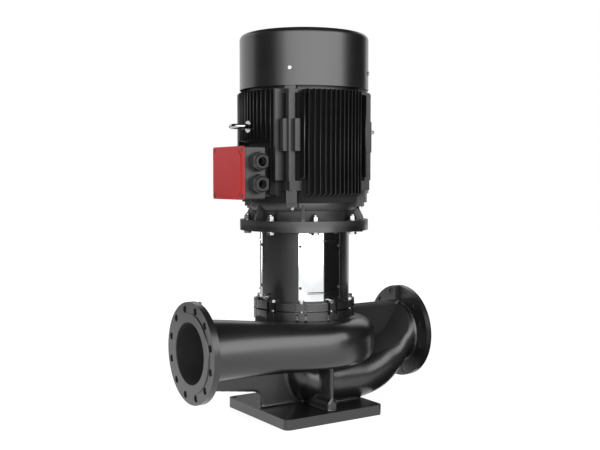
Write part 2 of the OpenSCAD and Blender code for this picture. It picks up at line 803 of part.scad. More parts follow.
module motor_shaft() {
    fan_seat_r = 25;
    color(bright_steel) {
        disc(motor_shaft_d / 2, coupling_mid + shaft_gap / 2, drive_bearing_z - 5);
        disc(drive_bearing[0] - 0.02, drive_bearing_z - 6, drive_bearing_z + 60);
        disc(37, drive_bearing_z + 33.2, fan_bearing_z - 0.2);
        disc(fan_bearing[0] - 0.02, fan_bearing_z - 1, fan_bearing_z + 45);
        difference() {
            disc(fan_seat_r, fan_bearing_z + 44, fan_z + 68);
            ring(fan_seat_r + past, fan_seat_r - 2, fan_z + 62, fan_z + 64);
        }
    }
}

core_z0 = frame_z0 + 47;
core_z1 = frame_z1 - 60;
core_r = 178;
air_gap = 0.8;
core_inner_r = 115;

module rotor_core() {
    vane_h = 14;
    color([0.55, 0.56, 0.58]) {
        ring(core_inner_r - air_gap, 37.05, core_z0, core_z1);
        for (z = [core_z0 - 12, core_z1]) {
            ring(core_inner_r - 3, 88, z, z + 12);
        }
        // Short stirring blades cast on the end rings
        for (i = [0:11], z = [core_z0 - 12 - vane_h, core_z1 + 11]) rotate([0, 0, i * 30])
            translate([90, -2.5, z]) cube([18, 5, vane_h + 1]);
    }
}

module stator_core() {
    slots = 36;
    color([0.6, 0.61, 0.63]) difference() {
        ring(core_r - 0.05, core_inner_r, core_z0, core_z1);
        for (i = [0:slots - 1]) rotate([0, 0, i * 360 / slots])
            translate([core_inner_r - past, -4, core_z0 - past]) cube([34, 8, core_z1 - core_z0 + 2 * past]);
    }
}

module stator_winding() {
    slots = 36;
    end_h = 34;
    color([0.7, 0.38, 0.18]) {
        for (z = [core_z0 - end_h - 0.5, core_z1 + 0.5]) ring(152, 119, z, z + end_h);
        for (i = [0:slots - 1]) rotate([0, 0, i * 360 / slots])
            translate([120, -3.8, core_z0 - 1]) cube([27, 7.6, core_z1 - core_z0 + 2]);
    }
}

module v_ring_seal() {
    color("dimgray") rotate_extrude() polygon([
        [motor_shaft_d / 2 + 0.02, motor_z0 - 12], [motor_shaft_d / 2 + 7, motor_z0 - 12],
        [motor_shaft_d / 2 + 7, motor_z0 - 7], [motor_shaft_d / 2 + 10, motor_z0 - 0.8],
        [motor_shaft_d / 2 + 8.5, motor_z0 - 0.8], [motor_shaft_d / 2 + 4, motor_z0 - 5],
        [motor_shaft_d / 2 + 0.02, motor_z0 - 5]
    ]);
}

module bearing_bore(bearing, z, below, above) {
    disc(bearing[1] + 0.02, z, z + bearing[2] + above);
    disc(bearing[0] + 9, z - below, z + past);
}

shield_r = 180;
gusset_angles = [4, 56, 142, 184, 236, 322];

module motor_flange_shield() {
    ear_h = 14;
    gusset_t = 12;
    color(cast_black) difference() {
        union() {
            disc(motor_flange_d / 2, motor_z0, motor_z1);
            disc(spigot_r, motor_z0 - spigot_h, motor_z0 + past);
            rotate_extrude() polygon([
                [0, motor_z1 - past], [shield_r - 4, motor_z1 - past], [shield_r, motor_z1 + 31],
                [shield_r - 3, motor_z1 + 31.5], [shield_r - 3, motor_z1 + 33.5], [shield_r + 3, motor_z1 + 34],
                [shield_r + 8, motor_z1 + 46], [shield_r + 8, frame_z0], [0, frame_z0]
            ]);
            for (a = gusset_angles) rotate([0, 0, from_outlet(a)]) vertical_web([
                [shield_r - 20, motor_z1 - past], [motor_flange_d / 2 - 16, motor_z1 - past],
                [motor_flange_d / 2 - 16, motor_z1 + 7], [shield_r + 6, frame_z0 - 3], [shield_r - 20, frame_z0 - 3]
            ], gusset_t);
            for (a = lug_angles) rotate([0, 0, from_outlet(a)])
                translate([shield_r - 6, -lug_w / 2, frame_z0 - ear_h]) cube([38, lug_w, ear_h]);
        }
        // Hollow inside with the bearing hub left standing
        difference() {
            ring(shield_r - 14, drive_bearing[1] + 14, motor_z1 + 4, frame_z0 + past);
            for (i = [0:5]) rotate([0, 0, i * 60]) translate([0, -5, motor_z1]) cube([shield_r, 10, shield_h - 14]);
        }
        disc(drive_bearing[1] + 15, drive_bearing_z + drive_bearing[2] + 12, frame_z0 + past);
        bearing_bore(drive_bearing, drive_bearing_z, 40, 30);
        around(motor_bolts_n, motor_pcd / 2, 180 / motor_bolts_n)
            translate([0, 0, motor_z0 - past]) cylinder(d = motor_bolt_d + 1.5, h = motor_flange_t + 2 * past);
        for (a = lug_angles) rotate([0, 0, from_outlet(a)])
            translate([corner_screw_r, 0, frame_z0 - ear_h - past]) cylinder(d = 11, h = ear_h + 2 * past);
    }
}

corner_screw_r = 199;
earth_z = frame_z0 + 0.645 * frame_h;

module motor_flange_bolts() {
    grip = stool_top_t + motor_flange_t;
    color(bright_steel) around(motor_bolts_n, motor_pcd / 2, 180 / motor_bolts_n) translate([0, 0, stool_z2])
        mirror([0, 0, 1]) hex_screw(motor_bolt_d, 1.5 * motor_bolt_d, 8, grip + 22, 1.8 * motor_bolt_d);
}

module motor_flange_nuts() {
    color(bright_steel) around(motor_bolts_n, motor_pcd / 2, 180 / motor_bolts_n) translate([0, 0, motor_z1])
        difference() {
            union() {
                cylinder(d = 30, h = 3);
                translate([0, 0, 3]) cylinder(d = 1.5 * motor_bolt_d / cos(30), h = 13, $fn = 6);
            }
            translate([0, 0, -past]) cylinder(d = motor_bolt_d + 0.1, h = 20);
        }
}

module bearing_races(outer) {
    for (b = [[drive_bearing, drive_bearing_z], [fan_bearing, fan_bearing_z]]) {
        size = b[0];
        land = 0.55 * size[4];
        mid_z = b[1] + size[2] / 2;
        rotate_extrude() difference() {
            translate([outer ? size[3] + land : size[0], b[1]])
                square([outer ? size[1] - size[3] - land : size[3] - land - size[0], size[2]]);
            translate([size[3], mid_z]) circle(size[4] + ball_play);
        }
    }
}

module bearing_outer_rings() { color(bright_steel) bearing_races(true); }
module bearing_inner_rings() { color(bright_steel) bearing_races(false); }

module ball_places(extra) {
    for (b = [[drive_bearing, drive_bearing_z], [fan_bearing, fan_bearing_z]], i = [0:ball_n - 1])
        rotate([0, 0, i * 360 / ball_n]) translate([b[0][3], 0, b[1] + b[0][2] / 2]) sphere(b[0][4] + extra);
}

module bearing_balls() { color(bright_steel) ball_places(0); }

module bearing_cages() {
    color(bronze) difference() {
        for (b = [[drive_bearing, drive_bearing_z], [fan_bearing, fan_bearing_z]])
            let (mid_z = b[1] + b[0][2] / 2, reach = b[0][4] + 2.5)
                ring(b[0][3] + 2.5, b[0][3] - 2.5, mid_z - reach, mid_z + reach);
        ball_places(0.25);
    }
}

module bearing_cover() {
    z0 = drive_bearing_z + drive_bearing[2];
    color(cast_black) ring(drive_bearing[1] + 10, 39, z0 + 12.2, z0 + 18);
}

module preload_spring() {
    z0 = drive_bearing_z + drive_bearing[2];
    color(bare_steel) ring(drive_bearing[1] - 1, drive_bearing[1] - 9, z0 + 0.2, z0 + 12);
}

// Finned frame

// The fins stand in four parallel groups, one to a side, so that the frame leaves its die
post_out = 165;
post_w = 22.4;
fin_last = floor((post_out - post_w - 10) / fin_pitch);
fin_slant = 12;
earth_x = post_out + 16;
earth_y = post_w - post_out;
function chord(r, off) = sqrt(max(1, r * r - off * off));

module fin(off, z0, z1) {
    root = chord(barrel_r, abs(off) + fin_t) - 3;
    tip = chord(fin_r, off);
    translate([0, off, 0]) vertical_web([[root, z0], [tip, z0 + fin_slant], [tip, z1], [root, z1]], fin_t);
}

module corner_post() {
    // One corner of the frame: a square post on a stem, end caps, and two pads for a motor foot
    z0 = fin_z0 + 55;
    z1 = frame_z1;
    mid = (z0 + z1) / 2;
    back = post_out - post_w;
    root = 0.66 * barrel_r;
    cap = 48;
    pad_w = post_w - 2;
    translate([0, 0, z0]) linear_extrude(z1 - z0) polygon([
        [-post_out, -back], [-post_out, -post_out + 4], [-post_out + 4, -post_out], [-back, -post_out],
        [-back, -back - 7], [-root, -root], [-back - 7, -back]
    ]);
    // Cap under the cover, and the block at the lower end that the shield lug grows from
    for (z = [z0 - 32, z1 - 14]) translate([0, 0, z]) linear_extrude(z < mid ? 33 : 14)
        polygon([[-post_out + 1, -post_out + cap], [-post_out + 1, -post_out + 1], [-post_out + cap, -post_out + 1], [-root, -root]]);
    // Pads that stand out past the post
    for (i = [0, 1]) mirror([i, -i, 0]) translate([-post_out - 16, -back - pad_w / 2, mid - 53])
        cube([34, pad_w, 106]);
    rotate([0, 0, from_outlet(lug_angles[0])])
        translate([barrel_r - 8, -lug_w / 2, frame_z0]) cube([29, lug_w, z0 - frame_z0 - 30]);
}

box_pad_y = 80;
box_pad_h = 156;
cable_hole_d = 44;

module motor_frame() {
    color(cast_black) difference() {
        union() {
            disc(barrel_r, frame_z0, frame_z1);
            for (side = [0:3], i = [-fin_last:fin_last]) rotate([0, 0, 90 * side])
                fin(i * fin_pitch, side == 2 && abs(i) * fin_pitch < box_w / 2 - 4 ? box_z + box_h / 2 + 12
                    : abs(i) == fin_last ? fin_z0 + 55 : fin_z0, frame_z1);
            for (i = [0, 1], j = [0, 1]) mirror([i, 0, 0]) mirror([0, j, 0]) corner_post();
            translate([-box_back, -box_pad_y, box_z - box_pad_h / 2]) cube([box_back - barrel_r + 30, 2 * box_pad_y, box_pad_h]);
            // Boss of the lifting eye
            translate([-barrel_r - 27, 0, eye_z]) rotate([0, 90, 0]) cylinder(r1 = 17, r2 = 24, h = 32);
        }
        disc(core_r, frame_z0 - past, frame_z1 + past);
        translate([-box_back - past, 0, box_z]) rotate([0, 90, 0]) cylinder(d = cable_hole_d, h = 60);
        translate([-barrel_r - 28, 0, eye_z]) rotate([0, 90, 0]) cylinder(d = 20.2, h = 38);
        translate([-barrel_r - 27, 0, eye_z]) rotate([0, -90, 0]) cylinder(d = 43, h = 20);
        for (a = lug_angles) rotate([0, 0, from_outlet(a)]) translate([corner_screw_r, 0, frame_z0 - past])
            cylinder(d = 10.1, h = 32);
        for (a = corner_angles) rotate([0, 0, from_outlet(a)]) translate([fan_end_screw_r, 0, frame_z1 - 18])
            cylinder(d = 8.1, h = 20);
        translate([earth_x - 14, earth_y, earth_z]) rotate([0, 90, 0]) cylinder(d = 8.1, h = 20);
        box_screw_places() translate([0, 0, -past]) cylinder(d = 6.2, h = 16);
    }
}

module frame_screws() {
    ear_h = 14;
    color(bright_steel) for (a = lug_angles) rotate([0, 0, from_outlet(a)])
        translate([corner_screw_r, 0, frame_z0 - ear_h]) mirror([0, 0, 1]) hex_screw(10, 16, 6.5, ear_h + 26, 19);
}

module earth_screw() {
    color(bright_steel) translate([earth_x, earth_y, earth_z]) rotate([0, 90, 0]) {
        translate([0, 0, -13]) cylinder(d = 8, h = 30);
        cylinder(d = 17, h = 1.6);
        translate([0, 0, 1.5]) cylinder(d = 13 / cos(30), h = 6, $fn = 6);
        translate([0, 0, 7.4]) cylinder(d = 13, h = 5);
    }
}

module lifting_eye() {
    bar = 8;
    eye = 28;
    face_x = -barrel_r - 27;
    color(bright_steel) translate([face_x, 0, eye_z]) {
        rotate([0, -90, 0]) cylinder(d = 40, h = 8);
        rotate([0, 90, 0]) cylinder(d = 20, h = 30);
        translate([-eye - bar - 4, 0, 0]) rotate_extrude() translate([eye, 0]) circle(bar);
        rotate([0, -90, 0]) cylinder(d = 18, h = 16);
    }
}

// Fan end

lug_w = 36;

module fan_end_shield() {
    hub_r = fan_bearing[1] + 12;
    inner_z = fan_bearing_z - 4;
    color(cast_black) difference() {
        union() {
            disc(barrel_r + 4, frame_z1 + 0.1, frame_z1 + 16);
            disc(core_r - 0.3, frame_z1 - 8, frame_z1 + 2);
            disc(hub_r, inner_z, frame_z1 + 18);
            for (a = corner_angles) rotate([0, 0, from_outlet(a)]) {
                translate([barrel_r - 12, -lug_w / 2, frame_z1 + seat]) cube([cowl_r - cowl_t - barrel_r + 8, lug_w, 16 - seat]);
                translate([cowl_r - cowl_t - 14, -lug_w / 2, frame_z1 + seat])
                    cube([16, lug_w, cowl_screw_z - frame_z1 + 12]);
            }
        }
        bearing_bore(fan_bearing, fan_bearing_z, 20, 0.3);
        disc(fan_bearing[0] + 0.8, fan_bearing_z, frame_z1 + 30);
        ring(core_r - 10, hub_r, frame_z1 - 9, frame_z1 + 5);
        for (a = corner_angles) rotate([0, 0, from_outlet(a)]) {
            translate([cowl_r - 40, 0, cowl_screw_z]) rotate([0, 90, 0]) cylinder(d = 8.1, h = 60);
            translate([fan_end_screw_r, 0, frame_z1 - past]) cylinder(d = 10.6, h = 30);
        }
        ring(cowl_r + 20, cowl_r - cowl_t - seat, frame_z1 - 10, cowl_screw_z + 40);
    }
}

fan_end_screw_r = 184.5;

module fan_end_screws() {
    color(bare_steel) for (a = corner_angles) rotate([0, 0, from_outlet(a)])
        translate([fan_end_screw_r, 0, frame_z1 + 16]) hex_screw(8, 13, 6, 30, 15);
}

module cooling_fan() {
    blade_n = 8;
    fan_r = 165;
    color(dark_plastic) difference() {
        union() {
            ring(40, 25.02, fan_z, fan_z + 60);
            ring(130, 39, fan_z + 4, fan_z + 9);
            for (i = [0:blade_n - 1]) rotate([0, 0, i * 360 / blade_n]) translate([39, -2.5, fan_z + 5])
                rotate([90, 0, 90]) translate([0, 0, 0]) linear_extrude(fan_r - 39) polygon([[0, 0], [5, 0], [5, 48], [0, 48]]);
        }
        translate([0, -3, fan_z - past]) cube([28, 6, 70]);
    }
}

module fan_circlip() {
    color(bare_steel) difference() {
        ring(29, 23.1, fan_z + 62.2, fan_z + 63.8);
        translate([15, -4, fan_z + 60]) cube([20, 8, 6]);
    }
}

module fan_cover() {
    shoulder = 19;
    grille_rings = 7;
    slot_w = 9;
    slot_step = 19;
    color(cast_black) difference() {
        rotate_extrude() difference() {
            union() {
                translate([0, cowl_z0]) square([cowl_r, cowl_h - shoulder]);
                translate([0, cowl_z0]) square([cowl_r - shoulder, cowl_h]);
                translate([cowl_r - shoulder, cowl_z1 - shoulder]) circle(shoulder);
            }
            translate([-past, cowl_z0 - past]) square([cowl_r - cowl_t + past, cowl_h - shoulder + past]);
            translate([-past, cowl_z0 - past]) square([cowl_r - shoulder + past, cowl_h - cowl_t + past]);
            translate([cowl_r - shoulder, cowl_z1 - shoulder]) circle(shoulder - cowl_t);
            translate([-50, cowl_z0 - 50]) square([50, cowl_h + 100]);
        }
        // Air slots of the grille, crossed by radial bars
        difference() {
            for (i = [0:grille_rings - 1]) let (r = 42 + i * slot_step) ring(r + slot_w, r, cowl_z1 - 10, cowl_z1 + past);
            for (i = [0:7]) rotate([0, 0, 22.5 + i * 45]) translate([0, -4, cowl_z1 - 12]) cube([cowl_r, 8, 20]);
        }
        for (a = corner_angles) rotate([0, 0, from_outlet(a)])
            translate([cowl_r - 10, 0, cowl_screw_z]) rotate([0, 90, 0]) cylinder(d = 8.6, h = 20);
    }
}

module fan_cover_screws() {
    color(bright_steel) for (a = corner_angles) rotate([0, 0, from_outlet(a)])
        translate([cowl_r + 0.1, 0, cowl_screw_z]) rotate([0, 90, 0]) {
            cylinder(d = 13, h = 4);
            translate([0, 0, -14]) cylinder(d = 7.9, h = 15);
        }
}

// Terminal box

module box_screw_places() {
    for (i = [-1, 1], j = [-1, 1])
        translate([-box_back, i * (box_pad_y - 16), box_z + j * (box_pad_h / 2 - 16)]) rotate([0, 90, 0]) children();
}

module facing_outlet(x) {
    translate([-x, 0, box_z]) rotate([0, -90, 0]) rotate([0, 0, 90]) children();
}

gland_levels = [box_z + gland_pitch / 2, box_z - gland_pitch / 2];
gland_thread_d = 39.6;
lid_screw_in = 13;

module lid_screw_places(x) {
    facing_outlet(x) for (i = [-1, 1], j = [-1, 1])
        translate([i * (box_w / 2 - lid_screw_in), j * (box_h / 2 - lid_screw_in), 0]) children();
}

module terminal_box() {
    depth = box_front - box_back;
    color(cast_black) difference() {
        facing_outlet(box_back) rounded_plate(box_w, box_h, depth, 8);
        difference() {
            facing_outlet(box_back + box_wall) rounded_plate(box_w - 2 * box_wall, box_h - 2 * box_wall, depth, 4);
            lid_screw_places(box_back) cylinder(r = lid_screw_in - 3, h = depth);
        }
        translate([-box_back - 20, 0, box_z]) rotate([0, 90, 0]) cylinder(d = cable_hole_d, h = 40);
        for (z = gland_levels) translate([gland_x, box_side_y - past, z]) rotate([-90, 0, 0])
            cylinder(d = gland_thread_d + 0.2, h = box_wall + 2 * past);
        lid_screw_places(box_front - 30) cylinder(d = 6.1, h = 40);
        box_screw_places() translate([0, 0, -30]) cylinder(d = 6.6, h = 40);
    }
}

module lid_gasket() {
    color("dimgray") facing_outlet(box_front) difference() {
        rounded_plate(box_w - 1, box_h - 1, lid_gasket_t, 8);
        translate([0, 0, -past]) rounded_plate(box_w - 2 * box_wall - 14, box_h - 2 * box_wall - 14, lid_gasket_t + 2 * past, 14);
        for (i = [-1, 1], j = [-1, 1])
            translate([i * (box_w / 2 - lid_screw_in), j * (box_h / 2 - lid_screw_in), -past]) cylinder(d = 6.8, h = 4);
    }
}

module lid_panel(w, h, cut, t) {
    linear_extrude(t) polygon([
        [-w / 2 + cut, -h / 2], [w / 2 - cut, -h / 2], [w / 2, -h / 2 + cut], [w / 2, h / 2 - cut],
        [w / 2 - cut, h / 2], [-w / 2 + cut, h / 2], [-w / 2, h / 2 - cut], [-w / 2, -h / 2 + cut]
    ]);
}

module terminal_lid() {
    panel_step = 2;
    color(lid_red) difference() {
        facing_outlet(box_front + lid_gasket_t) union() {
            rounded_plate(box_w, box_h, lid_t - panel_step, 8);
            lid_panel(box_w - 34, box_h - 24, 20, lid_t);
        }
        lid_screw_places(box_front) cylinder(d = 6.6, h = 20);
        lid_screw_places(box_front + lid_gasket_t + 2) cylinder(d = 12.4, h = 20);
    }
}

module lid_screws() {
    color([0.3, 0.32, 0.32]) lid_screw_places(box_front + lid_gasket_t + 2.1) difference() {
        union() {
            cylinder(d = 11.6, h = 4.2);
            translate([0, 0, -26]) cylinder(d = 6, h = 27);
        }
        translate([0, 0, 4]) cube([20, 1.6, 3], center = true);
    }
}

board_x = box_back + box_wall;

module terminal_board() {
    color([0.25, 0.12, 0.08]) facing_outlet(board_x) translate([0, 42, 0]) difference() {
        rounded_plate(96, 54, 10, 4);
        for (i = [-1:1], j = [-1, 1]) translate([i * 30, j * 13, -past]) cylinder(d = 6.2, h = 14);
    }
}

module terminal_studs() {
    color(bronze) facing_outlet(board_x) translate([0, 42, 0]) for (i = [-1:1], j = [-1, 1])
        translate([i * 30, j * 13, 0]) {
            translate([0, 0, 0.5]) cylinder(d = 6, h = 26);
            translate([0, 0, 10.1]) cylinder(d = 10 / cos(30), h = 5, $fn = 6);
        }
}

// Cable glands, along -Y

gland_body_h = 9;
gland_gap = 1;

module gland_at(z) {
    translate([gland_x, box_side_y, z]) rotate([90, 0, 0]) rotate([0, 0, 30]) children();
}

module gland_bodies() {
    color(dark_plastic) for (z = gland_levels) gland_at(z) difference() {
        union() {
            cylinder(d = gland_af / cos(30), h = gland_body_h, $fn = 6);
            translate([0, 0, -box_wall - 6]) cylinder(d = gland_thread_d, h = box_wall + 7);
            cylinder(d = gland_af - 9, h = gland_body_h + 14);
        }
        translate([0, 0, -20]) cylinder(d = gland_hole_d + 3, h = 50);
    }
}

module gland_nut(z) {
    hex_h = 19;
    dome_h = 9;
    color(dark_plastic) gland_at(z) translate([0, 0, gland_body_h + gland_gap]) difference() {
        union() {
            cylinder(d = gland_af / cos(30), h = hex_h, $fn = 6);
            translate([0, 0, hex_h - 0.1]) cylinder(d1 = gland_af - 3, d2 = gland_af - 13, h = dome_h);
        }
        translate([0, 0, -past]) cylinder(d = gland_af - 8.8, h = 15);
        translate([0, 0, -past]) cylinder(d = gland_hole_d, h = hex_h + dome_h + 3);
    }
}

module gland_nut_upper() { gland_nut(gland_levels[0]); }
module gland_nut_lower() { gland_nut(gland_levels[1]); }

module gland_seals() {
    color([0.1, 0.1, 0.1]) for (z = gland_levels) gland_at(z) difference() {
        translate([0, 0, -4]) cylinder(d = gland_hole_d + 2.8, h = gland_body_h + 17.5);
        translate([0, 0, -10]) cylinder(d = gland_hole_d - 6, h = 50);
    }
}

pump_housing();
wear_ring();
cover_gasket();
pump_cover();
head_bolts();
motor_stool();
coupling_guard_front();
coupling_guard_inlet_side();
coupling_guard_outlet_side();
guard_screws();
vent_valve_body();
vent_screw();
impeller();
impeller_key();
impeller_washer();
impeller_screw();
pump_shaft();
seal_seat();
seal_head();
seal_spring();
coupling_half_front();
coupling_half_rear();
coupling_screws();
coupling_pin();
motor_shaft();
rotor_core();
v_ring_seal();
motor_flange_shield();
motor_flange_bolts();
motor_flange_nuts();
bearing_outer_rings();
bearing_inner_rings();
bearing_balls();
bearing_cages();
bearing_cover();
preload_spring();
motor_frame();
frame_screws();
stator_core();
stator_winding();
fan_end_shield();
fan_end_screws();
cooling_fan();
fan_circlip();
fan_cover();
fan_cover_screws();
lifting_eye();
terminal_box();
lid_gasket();
terminal_lid();
lid_screws();
terminal_board();
terminal_studs();
gland_bodies();
gland_nut_upper();
gland_nut_lower();
gland_seals();
earth_screw();
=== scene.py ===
# In-line circulation pump: cast volute casing with two port flanges, coupling stool with bright
# guards, finned electric motor with a red terminal-box lid. All lengths are in metres.
import json
import math

import bmesh
import bpy
from mathutils import Matrix, Vector


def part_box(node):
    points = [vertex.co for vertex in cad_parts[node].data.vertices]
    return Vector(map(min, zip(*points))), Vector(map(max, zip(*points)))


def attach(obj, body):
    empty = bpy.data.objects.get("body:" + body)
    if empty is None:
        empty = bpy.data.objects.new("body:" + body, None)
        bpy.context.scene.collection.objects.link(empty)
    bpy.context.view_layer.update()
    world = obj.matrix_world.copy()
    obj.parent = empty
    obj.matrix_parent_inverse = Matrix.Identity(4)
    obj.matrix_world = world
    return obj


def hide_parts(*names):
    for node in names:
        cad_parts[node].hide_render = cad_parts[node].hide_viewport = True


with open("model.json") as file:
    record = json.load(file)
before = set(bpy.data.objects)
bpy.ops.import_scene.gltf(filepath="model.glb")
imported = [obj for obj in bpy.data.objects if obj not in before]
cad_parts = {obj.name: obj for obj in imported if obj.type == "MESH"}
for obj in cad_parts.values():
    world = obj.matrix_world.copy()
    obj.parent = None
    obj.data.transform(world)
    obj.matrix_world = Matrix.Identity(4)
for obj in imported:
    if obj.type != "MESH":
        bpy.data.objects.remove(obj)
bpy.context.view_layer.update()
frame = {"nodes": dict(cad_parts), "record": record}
mounts = {m["name"]: m for m in frame["record"]["mounts"]}
BODY = "frame"
# Points closer than this are one point
merge_gap = 1e-6

# Camera: a long lens from the left of the front, level with the lower end of the motor and
# pointed a little down, so that uprights stay nearly parallel in the picture.
camera_azimuth = math.radians(-33.21)
camera_dip = math.radians(2.88)
camera_distance = 3.246
camera_height = 0.8245
picture_w = 600
focal_px = 920.6
axis_px = 304.0
sensor_w = 36.0
lens = bpy.data.cameras.new("camera")
camera = bpy.data.objects.new("camera", lens)
bpy.context.collection.objects.link(camera)
camera.location = (
    camera_distance * math.sin(camera_azimuth),
    -camera_distance * math.cos(camera_azimuth),
    camera_height,
)
camera.rotation_euler = (math.pi / 2 - camera_dip, 0, camera_azimuth)
lens.sensor_width = sensor_w
lens.lens = focal_px * sensor_w / picture_w
lens.shift_x = (picture_w / 2 - axis_px) / picture_w
bpy.context.scene.camera = camera


# Materials: each is a principled shader whose sockets change over the piece.
class Wire:
    """A socket in a material. Sums and products of wires add the Math nodes they need."""

    def __init__(self, tree, socket=None):
        self.tree = tree
        self.socket = socket

    def node(self, kind, settings, inputs, out=0):
        """Adds a node, sets it up, feeds its sockets and gives back one of its outputs."""
        made = self.tree.nodes.new(kind)
        stops = settings.pop("stops", None)
        for key, value in settings.items():
            setattr(made, key, value)
        if stops:
            while len(made.color_ramp.elements) < len(stops):
                made.color_ramp.elements.new(0.5)
            for element, (place, colour) in zip(made.color_ramp.elements, stops):
                element.position = place
                element.color = colour
        for key, value in inputs.items():
            if isinstance(value, Wire):
                self.tree.links.new(value.socket, made.inputs[key])
            else:
                made.inputs[key].default_value = value
        return Wire(self.tree, made.outputs[out])

    def math(self, operation, first, second=0.0):
        return self.node("ShaderNodeMath", {"operation": operation}, {0: first, 1: second})

    def __add__(self, other):
        return self.math("ADD", self, other)

    def __sub__(self, other):
        return self.math("SUBTRACT", self, other)

    def __rsub__(self, other):
        return self.math("SUBTRACT", other, self)

    def __mul__(self, other):
        return self.math("MULTIPLY", self, other)

    def noise(self, where, scale, detail=2.0, rough=0.5):
        sockets = {"Vector": where, "Scale": scale, "Detail": detail, "Roughness": rough}
        return self.node("ShaderNodeTexNoise", {}, sockets)

    def stretch(self, where, scale):
        return self.node("ShaderNodeMapping", {}, {"Vector": where, "Scale": scale})

    def blend(self, mask, dark, light):
        return self.node(
            "ShaderNodeMix", {"data_type": "RGBA"}, {0: mask, 6: (*dark, 1), 7: (*light, 1)}, out=2
        )

    def mixed(self, mask, start, end):
        """From the start, a wire's colour, to a plain end."""
        sockets = {0: mask, 6: start, 7: (*end, 1)}
        return self.node("ShaderNodeMix", {"data_type": "RGBA"}, sockets, out=2)

    def across(self, where, centre, axes):
        """How far a point is from a centre, counted along some of the axes only."""
        kind = "ShaderNodeVectorMath"
        from_centre = self.node(kind, {"operation": "SUBTRACT"}, {0: where, 1: centre})
        flat = self.node(kind, {"operation": "MULTIPLY"}, {0: from_centre, 1: axes})
        return self.node(kind, {"operation": "LENGTH"}, {0: flat}, out=1)

    def clamp(self, low, high):
        """0 up to low, 1 from high on."""
        sockets = {"Value": self, "From Min": low, "From Max": high}
        return self.node("ShaderNodeMapRange", {"clamp": True}, sockets)


def material(name, surface, **fixed):
    """Makes a material. surface(w, where) gives the sockets that change over the piece."""
    made = bpy.data.materials.new(name)
    made.use_nodes = True
    tree = made.node_tree
    shader = tree.nodes["Principled BSDF"]
    w = Wire(tree)
    where = w.node("ShaderNodeTexCoord", {}, {}, out=3)
    for key, value in fixed.items():
        shader.inputs[key.replace("_", " ")].default_value = value
    for key, wire in surface(w, where).items():
        tree.links.new(wire.socket, shader.inputs[key])
    made.diffuse_color = (0.2, 0.2, 0.2, 1)
    return made


def bump(w, height, depth):
    return w.node("ShaderNodeBump", {}, {"Height": height, "Strength": 1.0, "Distance": depth})


# Paint: satin black over a shot-blasted sand casting, a die casting or sheet, so the gloss is
# broken by a faint grain and by slow changes in how thick the paint lies.
black_pair = (0.006, 0.006, 0.0065), (0.010, 0.010, 0.0105)
# Near black, painted into hollows as shade
painted_shade_black = (0.001, 0.001, 0.001)


def painted(name, colours, gloss, grain, grain_scale, shade_and_dull=None, shine=0.3):
    """Satin paint. The optional mask is 1 in hollows, where the colour is darkened to a painted shade
    and the paint is made dull and loses its coat.
    """

    def surface(w, where):
        cloud = w.noise(where, 7.0, 3.0)
        speck = w.noise(where, grain_scale, 3.0, 0.6)
        pits = w.noise(where, grain_scale * 0.3, 2.0)
        colour = w.blend(cloud.clamp(0.3, 0.7), *colours)
        rough = cloud * 0.08 + speck * 0.1 + (gloss - 0.09)
        changing = {"Normal": bump(w, speck * 0.6 + pits * 0.8, grain)}
        if shade_and_dull:
            # Painted shade: in the hollows the colour goes to near black, and the paint is also made
            # dull and loses its coat
            deep = shade_and_dull(w, where)
            rough = rough + deep * 0.6
            colour = w.mixed(deep, colour, painted_shade_black)
            changing["Coat Weight"] = (1 - deep) * shine
        return {"Base Color": colour, "Roughness": rough, **changing}

    return material(
        name, surface, Specular_IOR_Level=0.4 + shine, Coat_Weight=shine, Coat_Roughness=gloss * 0.6
    )


def port_shade(w, where):
    """Painted shade inside the pipes: 1 nearer to their common axis than their wall."""
    pipe_axis = mounts["inlet_bolts"]["pos_m"][2]
    bore = mounts["inlet_bore"]["dims"]["r_mm"] / 1000
    return 1 - w.across(where, (0, 0, pipe_axis), (0, 1, 1)).clamp(bore + 0.001, bore + 0.005)


def fin_gap_shade(w, where):
    """Painted shade deep between the fins: 1 nearer to the shaft than their outer third."""
    return 1 - w.across(where, (0, 0, 0), (1, 1, 0)).clamp(0.203, 0.214)


# The casting paint is darkened to a painted shade inside the ports, and the fin paint deep between the
# fins
cast_paint = painted("casting_paint", black_pair, 0.32, 0.00022, 420, port_shade)
motor_paint = painted("motor_paint", black_pair, 0.44, 0.00014, 600)
fin_paint = painted("fin_paint", black_pair, 0.34, 0.00014, 600, fin_gap_shade)
sheet_paint = painted("sheet_paint", black_pair, 0.32, 0.00005, 900)


# Shapes: pieces are made as plain meshes, joined, cut, and then finished one by one.
def new_piece(name, points, faces):
    mesh = bpy.data.meshes.new(name)
    mesh.from_pydata([tuple(p) for p in points], [], faces)
    piece = bpy.data.objects.new(name, mesh)
    bpy.context.collection.objects.link(piece)
    return piece


def reworked(piece, work):
    """Runs work on the piece's mesh as a bmesh and writes it back."""
    form = bmesh.new()
    form.from_mesh(piece.data)
    work(form)
    form.to_mesh(piece.data)
    form.free()
    return piece


def closed(piece):
    """Merges the piece's doubles and turns its faces outwards."""

    def work(form):
        bmesh.ops.remove_doubles(form, verts=form.verts, dist=merge_gap)
        bmesh.ops.recalc_face_normals(form, faces=form.faces)

    return reworked(piece, work)


def settled(piece):
    """Turns the piece's modifiers into plain mesh."""
    graph = bpy.context.evaluated_depsgraph_get()
    mesh = bpy.data.meshes.new_from_object(piece.evaluated_get(graph))
    piece.modifiers.clear()
    piece.data = mesh
    return piece


def modified(piece, kind, **settings):
    step = piece.modifiers.new(kind.lower(), kind)
    for key, value in settings.items():
        setattr(step, key, value)
    return step


def joined(name, parts):
    """One piece from several, which may overlap."""
    points, faces = [], []
    for part in parts:
        start = len(points)
        points += [part.matrix_world @ v.co for v in part.data.vertices]
        faces += [[start + i for i in face.vertices] for face in part.data.polygons]
        bpy.data.objects.remove(part)
    return new_piece(name, points, faces)


def cut(piece, tool, operation="DIFFERENCE"):
    modified(piece, "BOOLEAN", operation=operation, object=tool, solver="MANIFOLD")
    settled(piece)
    bpy.data.objects.remove(tool)
    return piece


